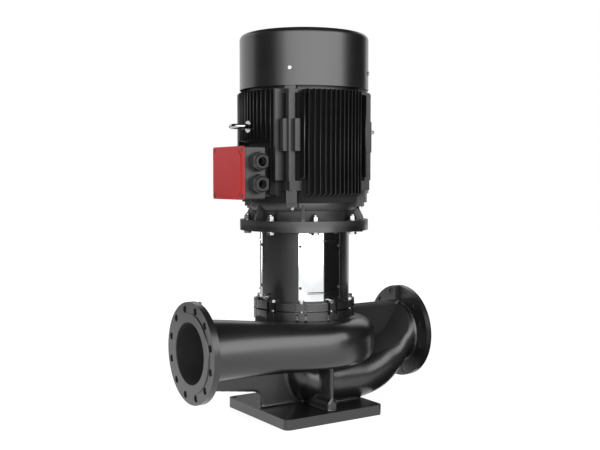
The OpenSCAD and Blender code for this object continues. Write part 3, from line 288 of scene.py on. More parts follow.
def skin(name, rows):
    """A closed skin over rows of points, each row one section across the flow."""
    n = len(rows[0])
    points = [p for row in rows for p in row]
    faces = [
        [i * n + k, (i + 1) * n + k, (i + 1) * n + (k + 1) % n, i * n + (k + 1) % n]
        for i in range(len(rows) - 1)
        for k in range(n)
    ]
    faces.append(list(range(n)))
    faces.append([len(points) - n + k for k in reversed(range(n))])
    return closed(new_piece(name, points, faces))


def turned(name, profile, steps=128, place=None):
    """A closed profile of (radius, height) points turned about Z, then placed."""
    points, faces = [], []
    n = len(profile)
    for i in range(steps):
        angle = 2 * math.pi * i / steps
        points += [(r * math.cos(angle), r * math.sin(angle), z) for r, z in profile]
        after = (i + 1) % steps * n
        faces += [[i * n + k, after + k, after + (k + 1) % n, i * n + (k + 1) % n] for k in range(n)]
    piece = closed(new_piece(name, points, faces))
    reworked(piece, lambda form: bmesh.ops.dissolve_degenerate(form, dist=merge_gap, edges=form.edges))
    if place:
        piece.data.transform(place)
    return closed(piece)


def cylinder(name, r, z0, z1, steps=128):
    return turned(name, [(0, z0), (r, z0), (r, z1), (0, z1)], steps)


def prism(name, outline, z0, z1, place=None):
    """A flat outline raised from z0 to z1, then placed."""
    n = len(outline)
    points = [(x, y, z) for z in (z0, z1) for x, y in outline]
    faces = [[k, (k + 1) % n, n + (k + 1) % n, n + k] for k in range(n)]
    faces += [list(reversed(range(n))), [n + k for k in range(n)]]
    piece = new_piece(name, points, faces)
    if place:
        piece.data.transform(place)
    return closed(piece)


def finished(piece, paint, edge=0.001, steps=2, sharp=35, body=BODY, replaces=()):
    """Rounds the piece's edges, smooths it, paints it and puts it on its body."""
    if edge:
        modified(
            piece, "BEVEL", width=edge, segments=steps, limit_method="ANGLE",
            angle_limit=math.radians(sharp), harden_normals=False, use_clamp_overlap=True,
        )
    modified(piece, "WEIGHTED_NORMAL", weight=60, keep_sharp=True)
    piece.data.shade_smooth()
    settled(piece)
    piece.data.set_sharp_from_angle(angle=math.radians(40))
    piece.data.materials.clear()
    piece.data.materials.append(paint)
    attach(piece, body)
    if replaces:
        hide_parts(*replaces)
    return piece


# Casing: one iron casting. A spiral gathers the water round the impeller and leaves as the
# outlet pipe; under it the inlet pipe bends down and up into the impeller's eye.
port_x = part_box("pump_housing")[1][0]
# The stool's lower flange stands a dark gap above the casing's joint flange
head_gap = 0.0028
joint_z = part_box("motor_stool")[0][2] - head_gap
pipe_z = mounts["inlet_bolts"]["pos_m"][2]
port_r = mounts["inlet_bore"]["dims"]["r_mm"] / 1000
wall = 0.012
pipe_r = port_r + wall
flange_t = 0.026
flange_back = port_x - flange_t
spiral_z = pipe_z + 0.015
spiral_half_h = 0.078
spiral_start_r = 0.185
spiral_end_r = 0.268
spiral_inner_r = 0.110
spiral_start_w = 0.045
spiral_end_w = 0.080
spiral_squareness = 2.7
tongue = math.radians(150)
# Degrees past the tongue: the spiral's end, its full height and the start of its passage
sweep = 240
full_height_at = 170
passage_start = 6
eye_r = 0.076
chamber_r = 0.146
base_t = 0.035
roof_z = spiral_z - spiral_half_h + 0.014
section_points = 56


def mix(a, b, t):
    return a + (b - a) * t


def oblong(x0, x1, y0, y1):
    """Corners of a rectangle, in order round it."""
    return [(x0, y0), (x1, y0), (x1, y1), (x0, y1)]


def round_section(mid, out_w, in_w, z, half_h, squareness):
    """Points of a rounded section: (distance from the axis, height)."""
    points = []
    for k in range(section_points):
        c, s = (f(2 * math.pi * k / section_points) for f in (math.cos, math.sin))
        c, s = (math.copysign(abs(v) ** (2 / squareness), v) for v in (c, s))
        points.append((mid + (out_w if c > 0 else in_w) * c, z + half_h * s))
    return points


def spiral_row(phi, inset):
    """One section of the spiral, phi degrees past the tongue."""
    share = phi / sweep
    angle = tongue - math.radians(phi)
    out_w = mix(spiral_start_w, spiral_end_w, share)
    mid = mix(spiral_start_r, spiral_end_r, share) - out_w
    half_h = spiral_half_h * mix(0.78, 1, min(1, phi / full_height_at))
    inner = mid - spiral_inner_r - inset
    section = round_section(mid, out_w - inset, inner, spiral_z, half_h - inset, spiral_squareness)
    return [(d * math.cos(angle), d * math.sin(angle), z) for d, z in section]


def outlet_row(t, inset, end_x):
    """One section of the outlet pipe, at a share t of its way from the spiral to the flange."""
    ease = t * t * (3 - 2 * t)
    rise = t**1.7
    mid = spiral_end_r - spiral_end_w
    out_w = mix(spiral_end_w, pipe_r, ease) - inset
    in_w = mix(mid - spiral_inner_r, pipe_r, ease) - inset
    half_h = mix(spiral_half_h, pipe_r, rise) - inset
    z = mix(spiral_z, pipe_z, rise)
    squareness = mix(spiral_squareness, 2, ease)
    section = round_section(mix(mid, 0, ease), out_w, in_w, z, half_h, squareness)
    return [(-t * end_x, -d, z) for d, z in section]


def spiral(name, inset):
    """The spiral and its outlet pipe. With an inset it is the passage, which runs out of the port."""
    end_x = flange_back + (1.2 if inset else 0.5) * flange_t
    rows = [spiral_row(phi, inset) for phi in range(passage_start if inset else 0, sweep, 3)]
    rows += [outlet_row(i / 40, inset, end_x) for i in range(41)]
    return skin(name, rows)


# Inlet bend, as shares of its reach: how far out, floor, roof and half width
inlet_shape = [
    (1.05, 1, 1, 1), (1, 1, 0.98, 1), (0.96, 0.98, 0.876, 1), (0.92, 0.87, 0.739, 1),
    (0.875, 0.67, 0.553, 1.01), (0.83, 0.5, 0.391, 1.02), (0.77, 0.3, 0.304, 1.04),
    (0.7, 0.13, 0.242, 1.06), (0.6, 0, 0.1, 1.07), (0.5, -0.08, 0, 1.07), (0.4, -0.13, 0, 1.06),
    (0.3, -0.13, 0, 1.05), (0.21, -0.12, 0, 1.04), (0.14, -0.09, 0, 1.02), (0.07, -0.04, 0, 1.01),
    (0, 0.03, 0, 1), (-0.047, 0.1, 0, 0.97), (-0.09, 0.22, 0, 0.87), (-0.123, 0.39, 0, 0.74),
    (-0.148, 0.6, 0, 0.58), (-0.168, 0.83, 0, 0.42), (-0.182, 1.06, 0, 0.26),
    (-0.191, 1.25, -0.02, 0.13),
]
# Shares of the reach: where the far end starts to close and how long it is in all, and up to
# where the passage runs under the spiral, with an iron roof of this thickness
rounded_end = 0.1
inlet_span = 0.29
under_spiral = 0.65
roof_t = 0.024


def through(keys, steps):
    """Rows on a smooth curve through the keys, steps rows to each stretch."""
    rows = []
    for i in range(len(keys) - 1):
        before, a, b, after = (keys[min(max(i + d, 0), len(keys) - 1)] for d in (-1, 0, 1, 2))
        for j in range(steps):
            t = j / steps
            rows.append([
                0.5 * (
                    2 * q + (r - p) * t + (2 * p - 5 * q + 4 * r - s) * t**2
                    + (3 * q - p - 3 * r + s) * t**3
                )
                for p, q, r, s in zip(before, a, b, after)
            ])
    return rows + [keys[-1]]


def inlet(name, inset):
    """The inlet bend. With an inset it is the passage, which ends a few keys earlier."""
    rows = []
    for far, floor, roof, half_w in through(inlet_shape[: -5 if inset else None], 4):
        drawn_in = inset * (rounded_end - far) / inlet_span if far < rounded_end else 0
        x = far * flange_back + drawn_in
        low = base_t + floor * (pipe_z - pipe_r - base_t) + inset
        top = roof_z + roof * (pipe_z + pipe_r - roof_z) - inset
        if inset and far < under_spiral:
            top = min(top, roof_z - roof_t)
        width = half_w * pipe_r - inset
        squareness = 2 if far > 0.9 else 2.3
        section = round_section(0, width, width, (low + top) / 2, (top - low) / 2, squareness)
        rows.append([(x, y, z) for y, z in section])
    return skin(name, rows)


def web(name, outline, thick):
    """An upright plate in the plane of the pipes, from (x, z) points."""
    stand = Matrix.Rotation(math.pi / 2, 4, "X") @ Matrix.Translation((0, 0, -thick / 2))
    return prism(name, outline, 0, thick, stand)


# Drum under the head joint, webs, front rib with its drain channel, and the base plate's half width
drum_r = 0.174
web_t = 0.014
rib_t = 0.013
channel_w = 0.040
plate_half = 0.2
channel_y = plate_half - 0.020
foot_corner = (-plate_half + 0.012, base_t + 0.057)
bend_r = 0.018
bend = [
    (foot_corner[0] - bend_r + bend_r * math.sin(a), foot_corner[1] - bend_r + bend_r * math.cos(a))
    for a in (math.radians(d) for d in range(0, 91, 15))
]
web_end = flange_back + 0.004
web_foot = base_t - 0.006
web_root = drum_r - 0.02
foot_web = [(-web_end, base_t + 0.087)] + bend + [
    (foot_corner[0] + 0.012, web_foot), (0, web_foot), (0, pipe_z), (-web_end, pipe_z)
]
top_web = [
    (web_root, joint_z - 0.04), (web_root, joint_z - 0.008), (web_end, joint_z - 0.006),
    (web_end, pipe_z + 0.08), (0.8 * flange_back, pipe_z - 0.02), (web_root, pipe_z),
]


def slab(x0, x1, y0, y1, z0, z1):
    return prism("slab", oblong(x0, x1, y0, y1), z0, z1)


def facing_x(side, x):
    """Turns a piece made about Z to face along X at the pipe's height."""
    return Matrix.Translation((side * x, 0, pipe_z)) @ Matrix.Rotation(side * math.pi / 2, 4, "Y")


channel_r = channel_w / 2
channel = [(-channel_r, base_t - 0.01)] + [
    (-channel_r * math.cos(a), base_t + 0.02 + channel_r * math.sin(a))
    for a in (math.pi * i / 24 for i in range(25))
] + [(channel_r, base_t - 0.01)]
along_y = Matrix.Rotation(math.pi / 2, 4, "X")
cast_half = plate_half - 0.01

# The casting's lumps overlap, and one smooth skin over them all gives them a moulder's fillets.
# The machined flanges and the base plate are crisp pieces over its ends.
parts = [
    spiral("spiral", 0),
    inlet("inlet", 0),
    cylinder("drum", drum_r, spiral_z - 0.05, joint_z - 0.008),
    web("foot_web", foot_web, web_t),
    web("top_web", top_web, web_t),
    slab(-rib_t / 2, rib_t / 2, -channel_y, -0.06, base_t + 0.02, spiral_z - 0.06),
    prism("channel", channel, 0.06, channel_y, along_y),
    slab(-cast_half, cast_half, -cast_half, cast_half, 0.004, base_t - 0.0015),
]
# A stub inside each port flange, so that the skin runs out to the flange's back
stub = oblong(0.06, 0.162, 0.0015, flange_t - 0.008)
parts += [turned("stub", stub, place=facing_x(side, flange_back)) for side in (-1, 1)]
cast_body = joined("cast_body", parts)
modified(cast_body, "REMESH", mode="VOXEL", voxel_size=0.0042)
modified(cast_body, "SMOOTH", factor=0.5, iterations=9)
settled(cast_body)
cut(cast_body, spiral("outlet_passage", wall))
cut(cast_body, inlet("inlet_passage", wall))

# The impeller's eye and, above it, its chamber, open to the head joint
eye_low = spiral_z - 0.13
eye = [
    (0, eye_low), (eye_r, eye_low), (eye_r, spiral_z),
    (chamber_r, spiral_z), (chamber_r, joint_z), (0, joint_z),
]
cut(cast_body, turned("chamber", eye, 64))
finished(cast_body, cast_paint, edge=0, replaces=["pump_housing"])


def drilled(piece, places, r, z0, z1, turn=None):
    """Holes along Z with countersunk ends, all turned together."""
    flare, over = 0.0012, 0.002
    profile = [
        (0, z0 - over), (r + flare + over, z0 - over), (r, z0 + flare), (r, z1 - flare),
        (r + flare + over, z1 + over), (0, z1 + over),
    ]
    tools = []
    for x, y in places:
        tool = turned("drill", profile, 28)
        tool.data.transform(Matrix.Translation((x, y, 0)))
        tools.append(tool)
    tool = joined("drills", tools)
    if turn:
        tool.data.transform(turn)
    return cut(piece, tool)


def on_circle(r, count, first):
    """Points spread evenly round a circle, from an angle on."""
    angles = [first + 2 * math.pi * i / count for i in range(count)]
    return [(r * math.cos(a), r * math.sin(a)) for a in angles]


# Port flanges: turned on the face, back and rim after casting, with twelve drilled holes, a
# raised sealing face and one short rib on the back at the top.
bolts = mounts["inlet_bolts"]["dims"]
flange_r = 0.170
raised_r = 0.133
raised_h = 0.003
rib_reach = 0.016
rib_half = 0.007


def bolt_hole_shade(w, where):
    """Painted shade inside the bolt holes and the bore. The holes' nearness comes from a wave round the
    circle.
    """
    bore = port_shade(w, where)
    circle, hole = bolts["pcd_mm"] / 2000, bolts["hole_r_mm"] / 1000
    y, z = (w.node("ShaderNodeSeparateXYZ", {}, {"Vector": where}, out=k) for k in (1, 2))
    angle = w.math("ARCTAN2", z - pipe_z, y)
    wave = w.math("COSINE", angle * bolts["count"] + math.pi)
    from_circle = w.across(where, (0, 0, pipe_z), (0, 1, 1)) - circle
    spread = circle**2 * 2 / bolts["count"] ** 2
    apart = from_circle * from_circle + (1 - wave) * spread
    holes = 1 - apart.clamp((hole + 0.0003) ** 2, (hole + 0.0012) ** 2)
    return w.math("MAXIMUM", bore, holes)


# The flange paint is darkened to a painted shade in the bolt holes and the bore
flange_paint = painted("flange_paint", black_pair, 0.34, 0.00018, 420, bolt_hole_shade)
rim_t = flange_t - raised_h
profile = [
    (port_r, 0), (flange_r, 0), (flange_r, rim_t), (raised_r + 0.0012, rim_t),
    (raised_r, flange_t), (port_r + 0.003, flange_t), (port_r, flange_t - 0.006),
]
places = on_circle(bolts["pcd_mm"] / 2000, bolts["count"], math.pi / bolts["count"])
for side, port in ((-1, "outlet"), (1, "inlet")):
    stand = facing_x(side, flange_back)
    flange = turned(port + "_flange", profile, 160, stand)
    drilled(flange, places, bolts["hole_r_mm"] / 1000, 0, rim_t, stand)
    rib_x = sorted((side * (flange_back - rib_reach), side * (flange_back + 0.002)))
    rib = slab(*rib_x, -rib_half, rib_half, pipe_z + pipe_r - 0.02, pipe_z + flange_r - 0.002)
    cut(flange, rib, "UNION")
    finished(flange, flange_paint, edge=0.0012)

# Base plate: the casting's square foot, milled underneath, with one bolt hole near each corner.
pattern = mounts["base_bolts"]["dims"]
corner_r = 0.020
straight = plate_half - corner_r
corners = [
    (sx * straight + corner_r * math.cos(a), sy * straight + corner_r * math.sin(a))
    for q, (sx, sy) in enumerate(((1, 1), (-1, 1), (-1, -1), (1, -1)))
    for a in (math.pi / 2 * (q + k / 8) for k in range(9))
]
plate = prism("base_plate", corners, 0, base_t)
hole_places = [
    (sx * pattern["spacing_x_mm"] / 2000, sy * pattern["spacing_y_mm"] / 2000)
    for sx in (-1, 1)
    for sy in (-1, 1)
]
drilled(plate, hole_places, pattern["hole_r_mm"] / 1000, 0, base_t)
finished(plate, cast_paint, edge=0.003, steps=3)

# Head joint: two iron flanges held by ten screws. Both have the same outline, a circle with a
# notch each side of every screw, milled to save iron and to let a lever part the joint.
joint_r = 0.178
notch_w = 0.009
notch_gap = 0.021
notch_depth = 0.012
screw_n = 10
screw_first = math.radians(180 + 18)
head_bore_r = 0.155


def notched_outline():
    """The joint flanges' outline: at each screw a notch, the rim, a notch and the rim again."""
    gap = math.asin(notch_gap / 2 / joint_r)
    far = math.asin((notch_gap / 2 + notch_w) / joint_r)
    end = 2 * math.pi / screw_n - far
    stretches = (-far, -gap, True), (-gap, gap, False), (gap, far, True), (far, end, False)
    places = []
    for i in range(screw_n):
        mid = screw_first + 2 * math.pi * i / screw_n
        for a0, a1, deep in stretches:
            steps = 2 if deep else max(3, round((a1 - a0) / 0.045))
            for a in (mix(a0, a1, k / steps) for k in range(steps + 1)):
                if deep:
                    places.append((mid, joint_r - notch_depth, joint_r * math.sin(a)))
                else:
                    places.append((mid + a, joint_r, 0))
    return [
        (r * math.cos(a) - aside * math.sin(a), r * math.sin(a) + aside * math.cos(a))
        for a, r, aside in places
    ]


head_flange = prism("casing_head", notched_outline(), spiral_z + spiral_half_h - 0.005, joint_z)
cut(head_flange, cylinder("bore", head_bore_r, 0.2, 0.5, 96))
finished(head_flange, cast_paint, edge=0.001)


# Motor stool: an iron tube cast between two flanges, with three machined windows through which
# the coupling is reached. It is planed where the guards lie.
def node_copy(node, name):
    """A copy of a CAD node's mesh with its doubles merged and its flat faces made whole."""
    mesh = frame["nodes"][node].data
    piece = new_piece(name, [v.co for v in mesh.vertices], [list(f.vertices) for f in mesh.polygons])

    def work(form):
        bmesh.ops.remove_doubles(form, verts=form.verts, dist=2 * merge_gap)
        bmesh.ops.dissolve_limit(
            form, angle_limit=math.radians(0.4), use_dissolve_boundaries=False,
            verts=form.verts, edges=form.edges,
        )

    return reworked(piece, work)


def refined(node, paint, edge=0.001, steps=2, body=BODY, sharp=30):
    """The CAD node's own shape with rounded edges and a finish."""
    return finished(node_copy(node, node + "_shape"), paint, edge, steps, sharp, body, [node])


refined("motor_stool", cast_paint, 0.0012)


# Guards: bright stainless sheet folded over the columns' edges, with two pressed beads, polished
# on a belt so that it mirrors the room in soft upright lines.
def polished_sheet(w, where):
    lines = w.noise(w.stretch(where, (900.0, 900.0, 6.0)), 1.0, 2.0)
    smear = w.noise(where, 12.0, 2.0)
    return {
        "Roughness": lines * 0.03 + smear * 0.03 + 0.035,
        "Normal": bump(w, lines, 0.000006),
        "Base Color": w.blend(smear, (0.80, 0.81, 0.82), (0.88, 0.89, 0.90)),
    }


bright_sheet = material("polished_stainless", polished_sheet, Metallic=1.0)
for guard in ("coupling_guard_front", "coupling_guard_inlet_side", "coupling_guard_outlet_side"):
    refined(guard, bright_sheet, 0.0004)


# Screws and nuts: zinc-plated steel, pale and faintly blotched, with chamfered hexagons.
def plated(w, where):
    blotch = w.noise(where, 160.0, 3.0)
    fine = w.noise(where, 1400.0, 2.0)
    return {
        "Base Color": w.blend(blotch, (0.30, 0.31, 0.33), (0.46, 0.46, 0.47)),
        "Roughness": blotch * 0.16 + 0.2,
        "Normal": bump(w, fine, 0.00003),
    }


zinc = material("zinc_plate", plated, Metallic=1.0)


def hexagon(name, across_flats, z0, z1):
    """A hexagon head with its corners turned off by a cone at the top."""
    top_r = across_flats * 0.475
    corner_slope = math.tan(0.3) * 1.6
    rims = []
    n = 36
    for k in range(n):
        a = 2 * math.pi * k / n
        from_flat = (a + math.pi / 6) % (math.pi / 3) - math.pi / 6
        r = across_flats / 2 / math.cos(from_flat)
        rims.append((a, r, z1 - (r - top_r) * corner_slope))
    points = [(r * math.cos(a), r * math.sin(a), z0) for a, r, _ in rims]
    points += [(r * math.cos(a), r * math.sin(a), z) for a, r, z in rims]
    points += [(top_r * math.cos(a), top_r * math.sin(a), z1) for a, _, _ in rims]
    faces = [
        [low + k, low + (k + 1) % n, low + n + (k + 1) % n, low + n + k]
        for low in (0, n)
        for k in range(n)
    ]
    faces += [list(reversed(range(n))), [2 * n + k for k in range(n)]]
    return closed(new_piece(name, points, faces))


def rod(name, r, z0, z1, ease=0.0004):
    """A round bar with eased ends."""
    profile = [(0, z0), (r - ease, z0), (r, z0 + ease), (r, z1 - ease), (r - ease, z1), (0, z1)]
    return turned(name, profile, 24)


def ring_tree():
    """Copies of one piece round the shaft, each turned to face outwards."""
    tree = bpy.data.node_groups.new("copies_round_the_shaft", "GeometryNodeTree")
    face = tree.interface
    face.new_socket("Geometry", in_out="INPUT", socket_type="NodeSocketGeometry")
    kinds = {"Piece": "Object", "Count": "Int", "First": "Float", "Step": "Float", "Finish": "Material"}
    for name, kind in kinds.items():
        face.new_socket(name, in_out="INPUT", socket_type="NodeSocket" + kind)
    face.new_socket("Geometry", in_out="OUTPUT", socket_type="NodeSocketGeometry")
    add, link = tree.nodes.new, tree.links.new
    given, result = add("NodeGroupInput"), add("NodeGroupOutput")
    row, piece = add("GeometryNodeMeshLine"), add("GeometryNodeObjectInfo")
    index, turn = add("GeometryNodeInputIndex"), add("ShaderNodeMath")
    place = add("ShaderNodeCombineXYZ")
    spin, copies = add("FunctionNodeEulerToRotation"), add("GeometryNodeInstanceOnPoints")
    real, paint = add("GeometryNodeRealizeInstances"), add("GeometryNodeSetMaterial")
    row.inputs["Offset"].default_value = (0, 0, 0)
    turn.operation = "MULTIPLY_ADD"
    link(given.outputs["Count"], row.inputs["Count"])
    link(given.outputs["Piece"], piece.inputs["Object"])
    link(index.outputs[0], turn.inputs[0])
    link(given.outputs["Step"], turn.inputs[1])
    link(given.outputs["First"], turn.inputs[2])
    link(turn.outputs[0], place.inputs["Z"])
    link(place.outputs[0], spin.inputs[0])
    link(row.outputs[0], copies.inputs["Points"])
    link(piece.outputs["Geometry"], copies.inputs["Instance"])
    link(spin.outputs[0], copies.inputs["Rotation"])
    link(copies.outputs[0], real.inputs[0])
    link(real.outputs[0], paint.inputs["Geometry"])
    link(given.outputs["Finish"], paint.inputs["Material"])
    link(paint.outputs[0], result.inputs[0])
    return tree


copies_round = ring_tree()
socket_ids = {s.name: s.identifier for s in copies_round.interface.items_tree if s.in_out == "INPUT"}


def repeated(name, model, count, first, step, finish):
    """count copies of a model that is made at angle 0, from angle first, step apart."""
    piece = new_piece(name, [], [])
    maker = modified(piece, "NODES", node_group=copies_round)
    values = {"Piece": model, "Count": count, "First": first, "Step": step, "Finish": finish}
    for key, value in values.items():
        maker[socket_ids[key]] = value
    settled(piece)
    bpy.data.objects.remove(model)
    return piece


def fastened(name, model, count, first, node):
    """A full circle of zinc-plated screws or nuts, in place of a CAD node."""
    piece = repeated(name, model, count, first, 2 * math.pi / count, zinc)
    piece.data.shade_smooth()
    piece.data.set_sharp_from_angle(angle=math.radians(28))
    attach(piece, BODY)
    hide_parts(node)


def moved(piece, x=0.0, y=0.0, z=0.0, turn=None):
    piece.data.transform(Matrix.Translation((x, y, z)) @ (turn or Matrix()))
    return piece


# Head screws: their heads stand on washers on the stool's lower flange
head_bolt_r = 0.1685
washer_t, head_top = 0.0023, 0.0099
head_bolt = joined("bolt", [
    rod("washer", 0.0094, 0, washer_t),
    hexagon("head", 0.018, washer_t, head_top),
    rod("shank", 0.006, -0.046, 0.001),
])
moved(head_bolt, head_bolt_r, 0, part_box("head_bolts")[1][2] - head_top)
fastened("head_screws", head_bolt, screw_n, screw_first, "head_bolts")

# Motor flange bolts: heads below the stool's upper flange, nuts on top of the motor's
bolt_low, bolt_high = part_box("motor_flange_bolts")
motor_bolt_r = 0.200
motor_bolt_n = 8
motor_bolt_first = math.radians(22.5)
washer_t, head_t = 0.0032, 0.008
under_flange = bolt_low[2] + washer_t + head_t
flange_bolt = joined("bolt", [
    rod("washer", 0.0144, -washer_t, 0),
    moved(hexagon("head", 0.024, 0, head_t), z=-washer_t, turn=Matrix.Rotation(math.pi, 4, "X")),
    rod("shank", 0.008, -0.001, bolt_high[2] - under_flange, 0.0015),
])
moved(flange_bolt, motor_bolt_r, 0, under_flange)
fastened("flange_screws", flange_bolt, motor_bolt_n, motor_bolt_first, "motor_flange_bolts")
nut = joined("nut", [rod("washer", 0.015, 0, 0.003), hexagon("nut", 0.0225, 0.003, 0.016)])
cut(nut, rod("bore", 0.0081, -0.01, 0.03))
moved(nut, motor_bolt_r, 0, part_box("motor_flange_nuts")[0][2])
fastened("flange_nuts", nut, motor_bolt_n, motor_bolt_first, "motor_flange_nuts")

# Motor flange and drive-end shield: one iron casting, turned where it meets the stool.
refined("motor_flange_shield", motor_paint, 0.0014)

# Motor frame: die-cast, so its fins stand in four parallel groups, one to a side, and taper a
# little. A square post at each corner carries two pads for the feet of other versions, a cap
# under the fan cover and the lug of a shield screw.
frame_low, frame_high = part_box("motor_frame")
core_r = 0.178
barrel_r = 0.192
fin_r = 0.229
fin_r_front = 0.221
fin_pitch = 0.0177
fin_last = 7
flank_out = 0.196
flank_off = 0.1215
flank_t = 0.013
flank_fin_off = flank_off * 1.03
fin_root = 0.0050
fin_tip = 0.0034
fin_slant = 0.012
fin_low = frame_low[2] + 0.019
fin_high = frame_high[2]
post_low = fin_low + 0.055
post_out = 0.165
post_w = 0.0224
box_low, box_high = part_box("terminal_box")
box_z = (box_low[2] + box_high[2]) / 2


def chord(r, off):
    """How far out a circle of radius r lies, at a distance off from the middle."""
    return math.sqrt(r * r - off * off)


def fin(off, tip_x, z0, z1, drop=0.0):
    """One fin at a distance from the middle of its side: tapered, with slanted ends."""
    root_x = chord(barrel_r, abs(off) + fin_root) - 0.003
    ends = [(root_x, off, fin_root / 2, z0), (tip_x, off, fin_tip / 2, z0 + fin_slant)]
    points = []
    for x, y, half, low in ends:
        high = z1 if x == root_x else z1 - drop
        points += [(x, y - half, low), (x, y + half, low), (x, y + half, high), (x, y - half, high)]
    faces = [[0, 1, 2, 3], [7, 6, 5, 4], [0, 4, 5, 1], [1, 5, 6, 2], [2, 6, 7, 3], [3, 7, 4, 0]]
    return closed(new_piece("fin", points, faces))


def fin_group(name, reach, last=fin_last, above_box=False):
    """The fins of one side, at angle 0. Over the terminal box only the outermost pair is long.

    A full group ends with a shorter fin beside each corner post. The others leave that place to
    the posts' flank plates.
    """
    fins = []
    for i in range(-last, last + 1):
        if abs(i) == fin_last:
            off = math.copysign(flank_fin_off, i)
            fins.append(fin(off, flank_out, post_low, fin_high, fin_slant))
        else:
            low = box_high[2] + 0.012 if above_box and abs(i) < last else fin_low
            fins.append(fin(i * fin_pitch, chord(reach, i * fin_pitch), low, fin_high))
    return joined(name, fins)


quarter = math.pi / 2
half_turn = Matrix.Rotation(math.pi, 4, "Z")
fins = [
    repeated("fins", fin_group("front_side", fin_r_front), 2, -quarter, 2 * quarter, motor_paint),
    fin_group("plain_side", fin_r, fin_last - 1),
    moved(fin_group("box_side", fin_r, fin_last - 1, above_box=True), turn=half_turn),
]
fins.append(turned("barrel", oblong(core_r, barrel_r, frame_low[2], fin_high), 144))
cooling = joined("cooling_fins", fins)
ring_low, ring_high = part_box("lifting_eye")
eye_z = (ring_low[2] + ring_high[2]) / 2
boss_face = -barrel_r - 0.027
eye_seat = rod("eye_seat", 0.0215, 0, 0.02)
cut(cooling, moved(eye_seat, boss_face, 0, eye_z, Matrix.Rotation(-quarter, 4, "Y")))
finished(cooling, fin_paint, edge=0.0005, steps=1, sharp=50, replaces=["motor_frame"])


def corner_post():
    """The post between the -X and -Y sides, with its caps, pads, lug and the -X side's flank plate."""
    back = post_out - post_w
    root = 0.66 * barrel_r
    edge = 0.004
    groove = back + 0.007
    outline = [
        (-post_out, -back), (-post_out, edge - post_out), (edge - post_out, -post_out),
        (-back, -post_out), (-back, -groove), (-root, -root), (-groove, -back),
    ]
    body = prism("post", outline, post_low, fin_high)

    near = -post_out + 0.001
    far = -post_out + 0.048
    block = [(near, far), (near, near), (far, near), (-root, -root)]
    caps = (post_low - 0.032, 0.033), (fin_high - 0.014, 0.0137)
    extras = [prism("cap", block, z, z + h) for z, h in caps]

    flank = oblong(-flank_out, -root, -flank_off - flank_t / 2, -flank_off + flank_t / 2)
    extras.append(prism("flank", flank, post_low + 0.002, fin_high - 0.0003))

    pad_w = post_w - 0.002
    pad_half_h = 0.053
    middle = (post_low + fin_high) / 2
    pad = oblong(-post_out - 0.016, -post_out + 0.018, -back - pad_w / 2, -back + pad_w / 2)
    for outline in (pad, [(y, x) for x, y in pad]):
        extras.append(prism("pad", outline, middle - pad_half_h, middle + pad_half_h))

    lug = slab(barrel_r - 0.008, barrel_r + 0.029, -0.018, 0.018, frame_low[2], post_low - 0.03)
    extras.append(moved(lug, turn=Matrix.Rotation(math.radians(180 + 46), 4, "Z")))
    for extra in extras:
        cut(body, extra, "UNION")
    return body


posts = []
for sx in (1, -1):
    for sy in (1, -1):
        post = corner_post()
        post.data.transform(Matrix.Diagonal((sx, sy, 1, 1)))
        closed(post)
        posts.append(post)
finished(joined("corner_posts", posts), motor_paint, edge=0.0016, steps=3, sharp=40)

# Seat of the terminal box, with the way for the cables, and boss of the lifting eye
pad_front = box_high[0]
pad_half_w, pad_half_h = 0.080, 0.078
facing_out = Matrix.Rotation(quarter, 4, "Y")
pad = slab(pad_front, -barrel_r + 0.03, -pad_half_w, pad_half_w, box_z - pad_half_h, box_z + pad_half_h)
cable_way = rod("cable_way", 0.022, -0.02, 0.06)
cut(pad, moved(cable_way, pad_front, 0, box_z, facing_out))
boss = turned("boss", [(0, 0), (0.017, 0), (0.0235, 0.03), (0, 0.03)], 48)
moved(boss, boss_face, 0, eye_z, facing_out)
finished(joined("box_pad", [pad, boss]), motor_paint, edge=0.002, steps=3)


# Lifting eye: drop-forged steel, plated bright, screwed into its boss until the collar seats.
def plated_bright(w, where):
    haze = w.noise(where, 40.0, 2.0)
    return {
        "Base Color": w.blend(haze, (0.48, 0.49, 0.50), (0.58, 0.58, 0.59)),
        "Roughness": haze * 0.05 + 0.06,
        "Normal": bump(w, w.noise(where, 300.0, 2.0), 0.00004),
    }


chrome = material("bright_plate", plated_bright, Metallic=1.0)
refined("lifting_eye", chrome, 0.0008, sharp=40)

# Terminal box: die-cast, screwed to the pad, closed by a red lid over a gasket.
refined("terminal_box", motor_paint, 0.0015, 3)
red_pair = (0.33, 0.012, 0.013), (0.39, 0.017, 0.018)
lid_paint = painted("lid_paint", red_pair, 0.42, 0.00004, 1000, shine=0.0)
refined("terminal_lid", lid_paint, 0.0009, 3)


# Cable glands: moulded black plastic with a rubber grip inside.
def moulded(name, dark, light, gloss):
    """A plain dull surface with a fine grain."""

    def surface(w, where):
        grain = w.noise(where, 1500.0, 2.0)
        cloud = w.noise(where, 30.0, 2.0)
        return {
            "Base Color": w.blend(cloud, dark, light),
            "Roughness": cloud * 0.08 + grain * 0.06 + gloss,
            "Normal": bump(w, grain, 0.00003),
        }

    return material(name, surface, Specular_IOR_Level=0.45)


gland_plastic = moulded("gland_plastic", (0.014, 0.014, 0.015), (0.022, 0.022, 0.023), 0.36)
refined("gland_bodies", gland_plastic, 0.001)
refined("gland_nut_upper", gland_plastic, 0.0012, 3, body="gland_nut_upper")
refined("gland_nut_lower", gland_plastic, 0.0012, 3, body="gland_nut_lower")

# Fan cover: deep-drawn steel sheet with a slotted grille on top, held by four screws.
cowl_low, cowl_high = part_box("fan_cover")
cowl_r, cowl_t, shoulder, crown = 0.225, 0.0025, 0.019, 0.004
cowl_z0, cowl_z1 = cowl_low[2], cowl_high[2]


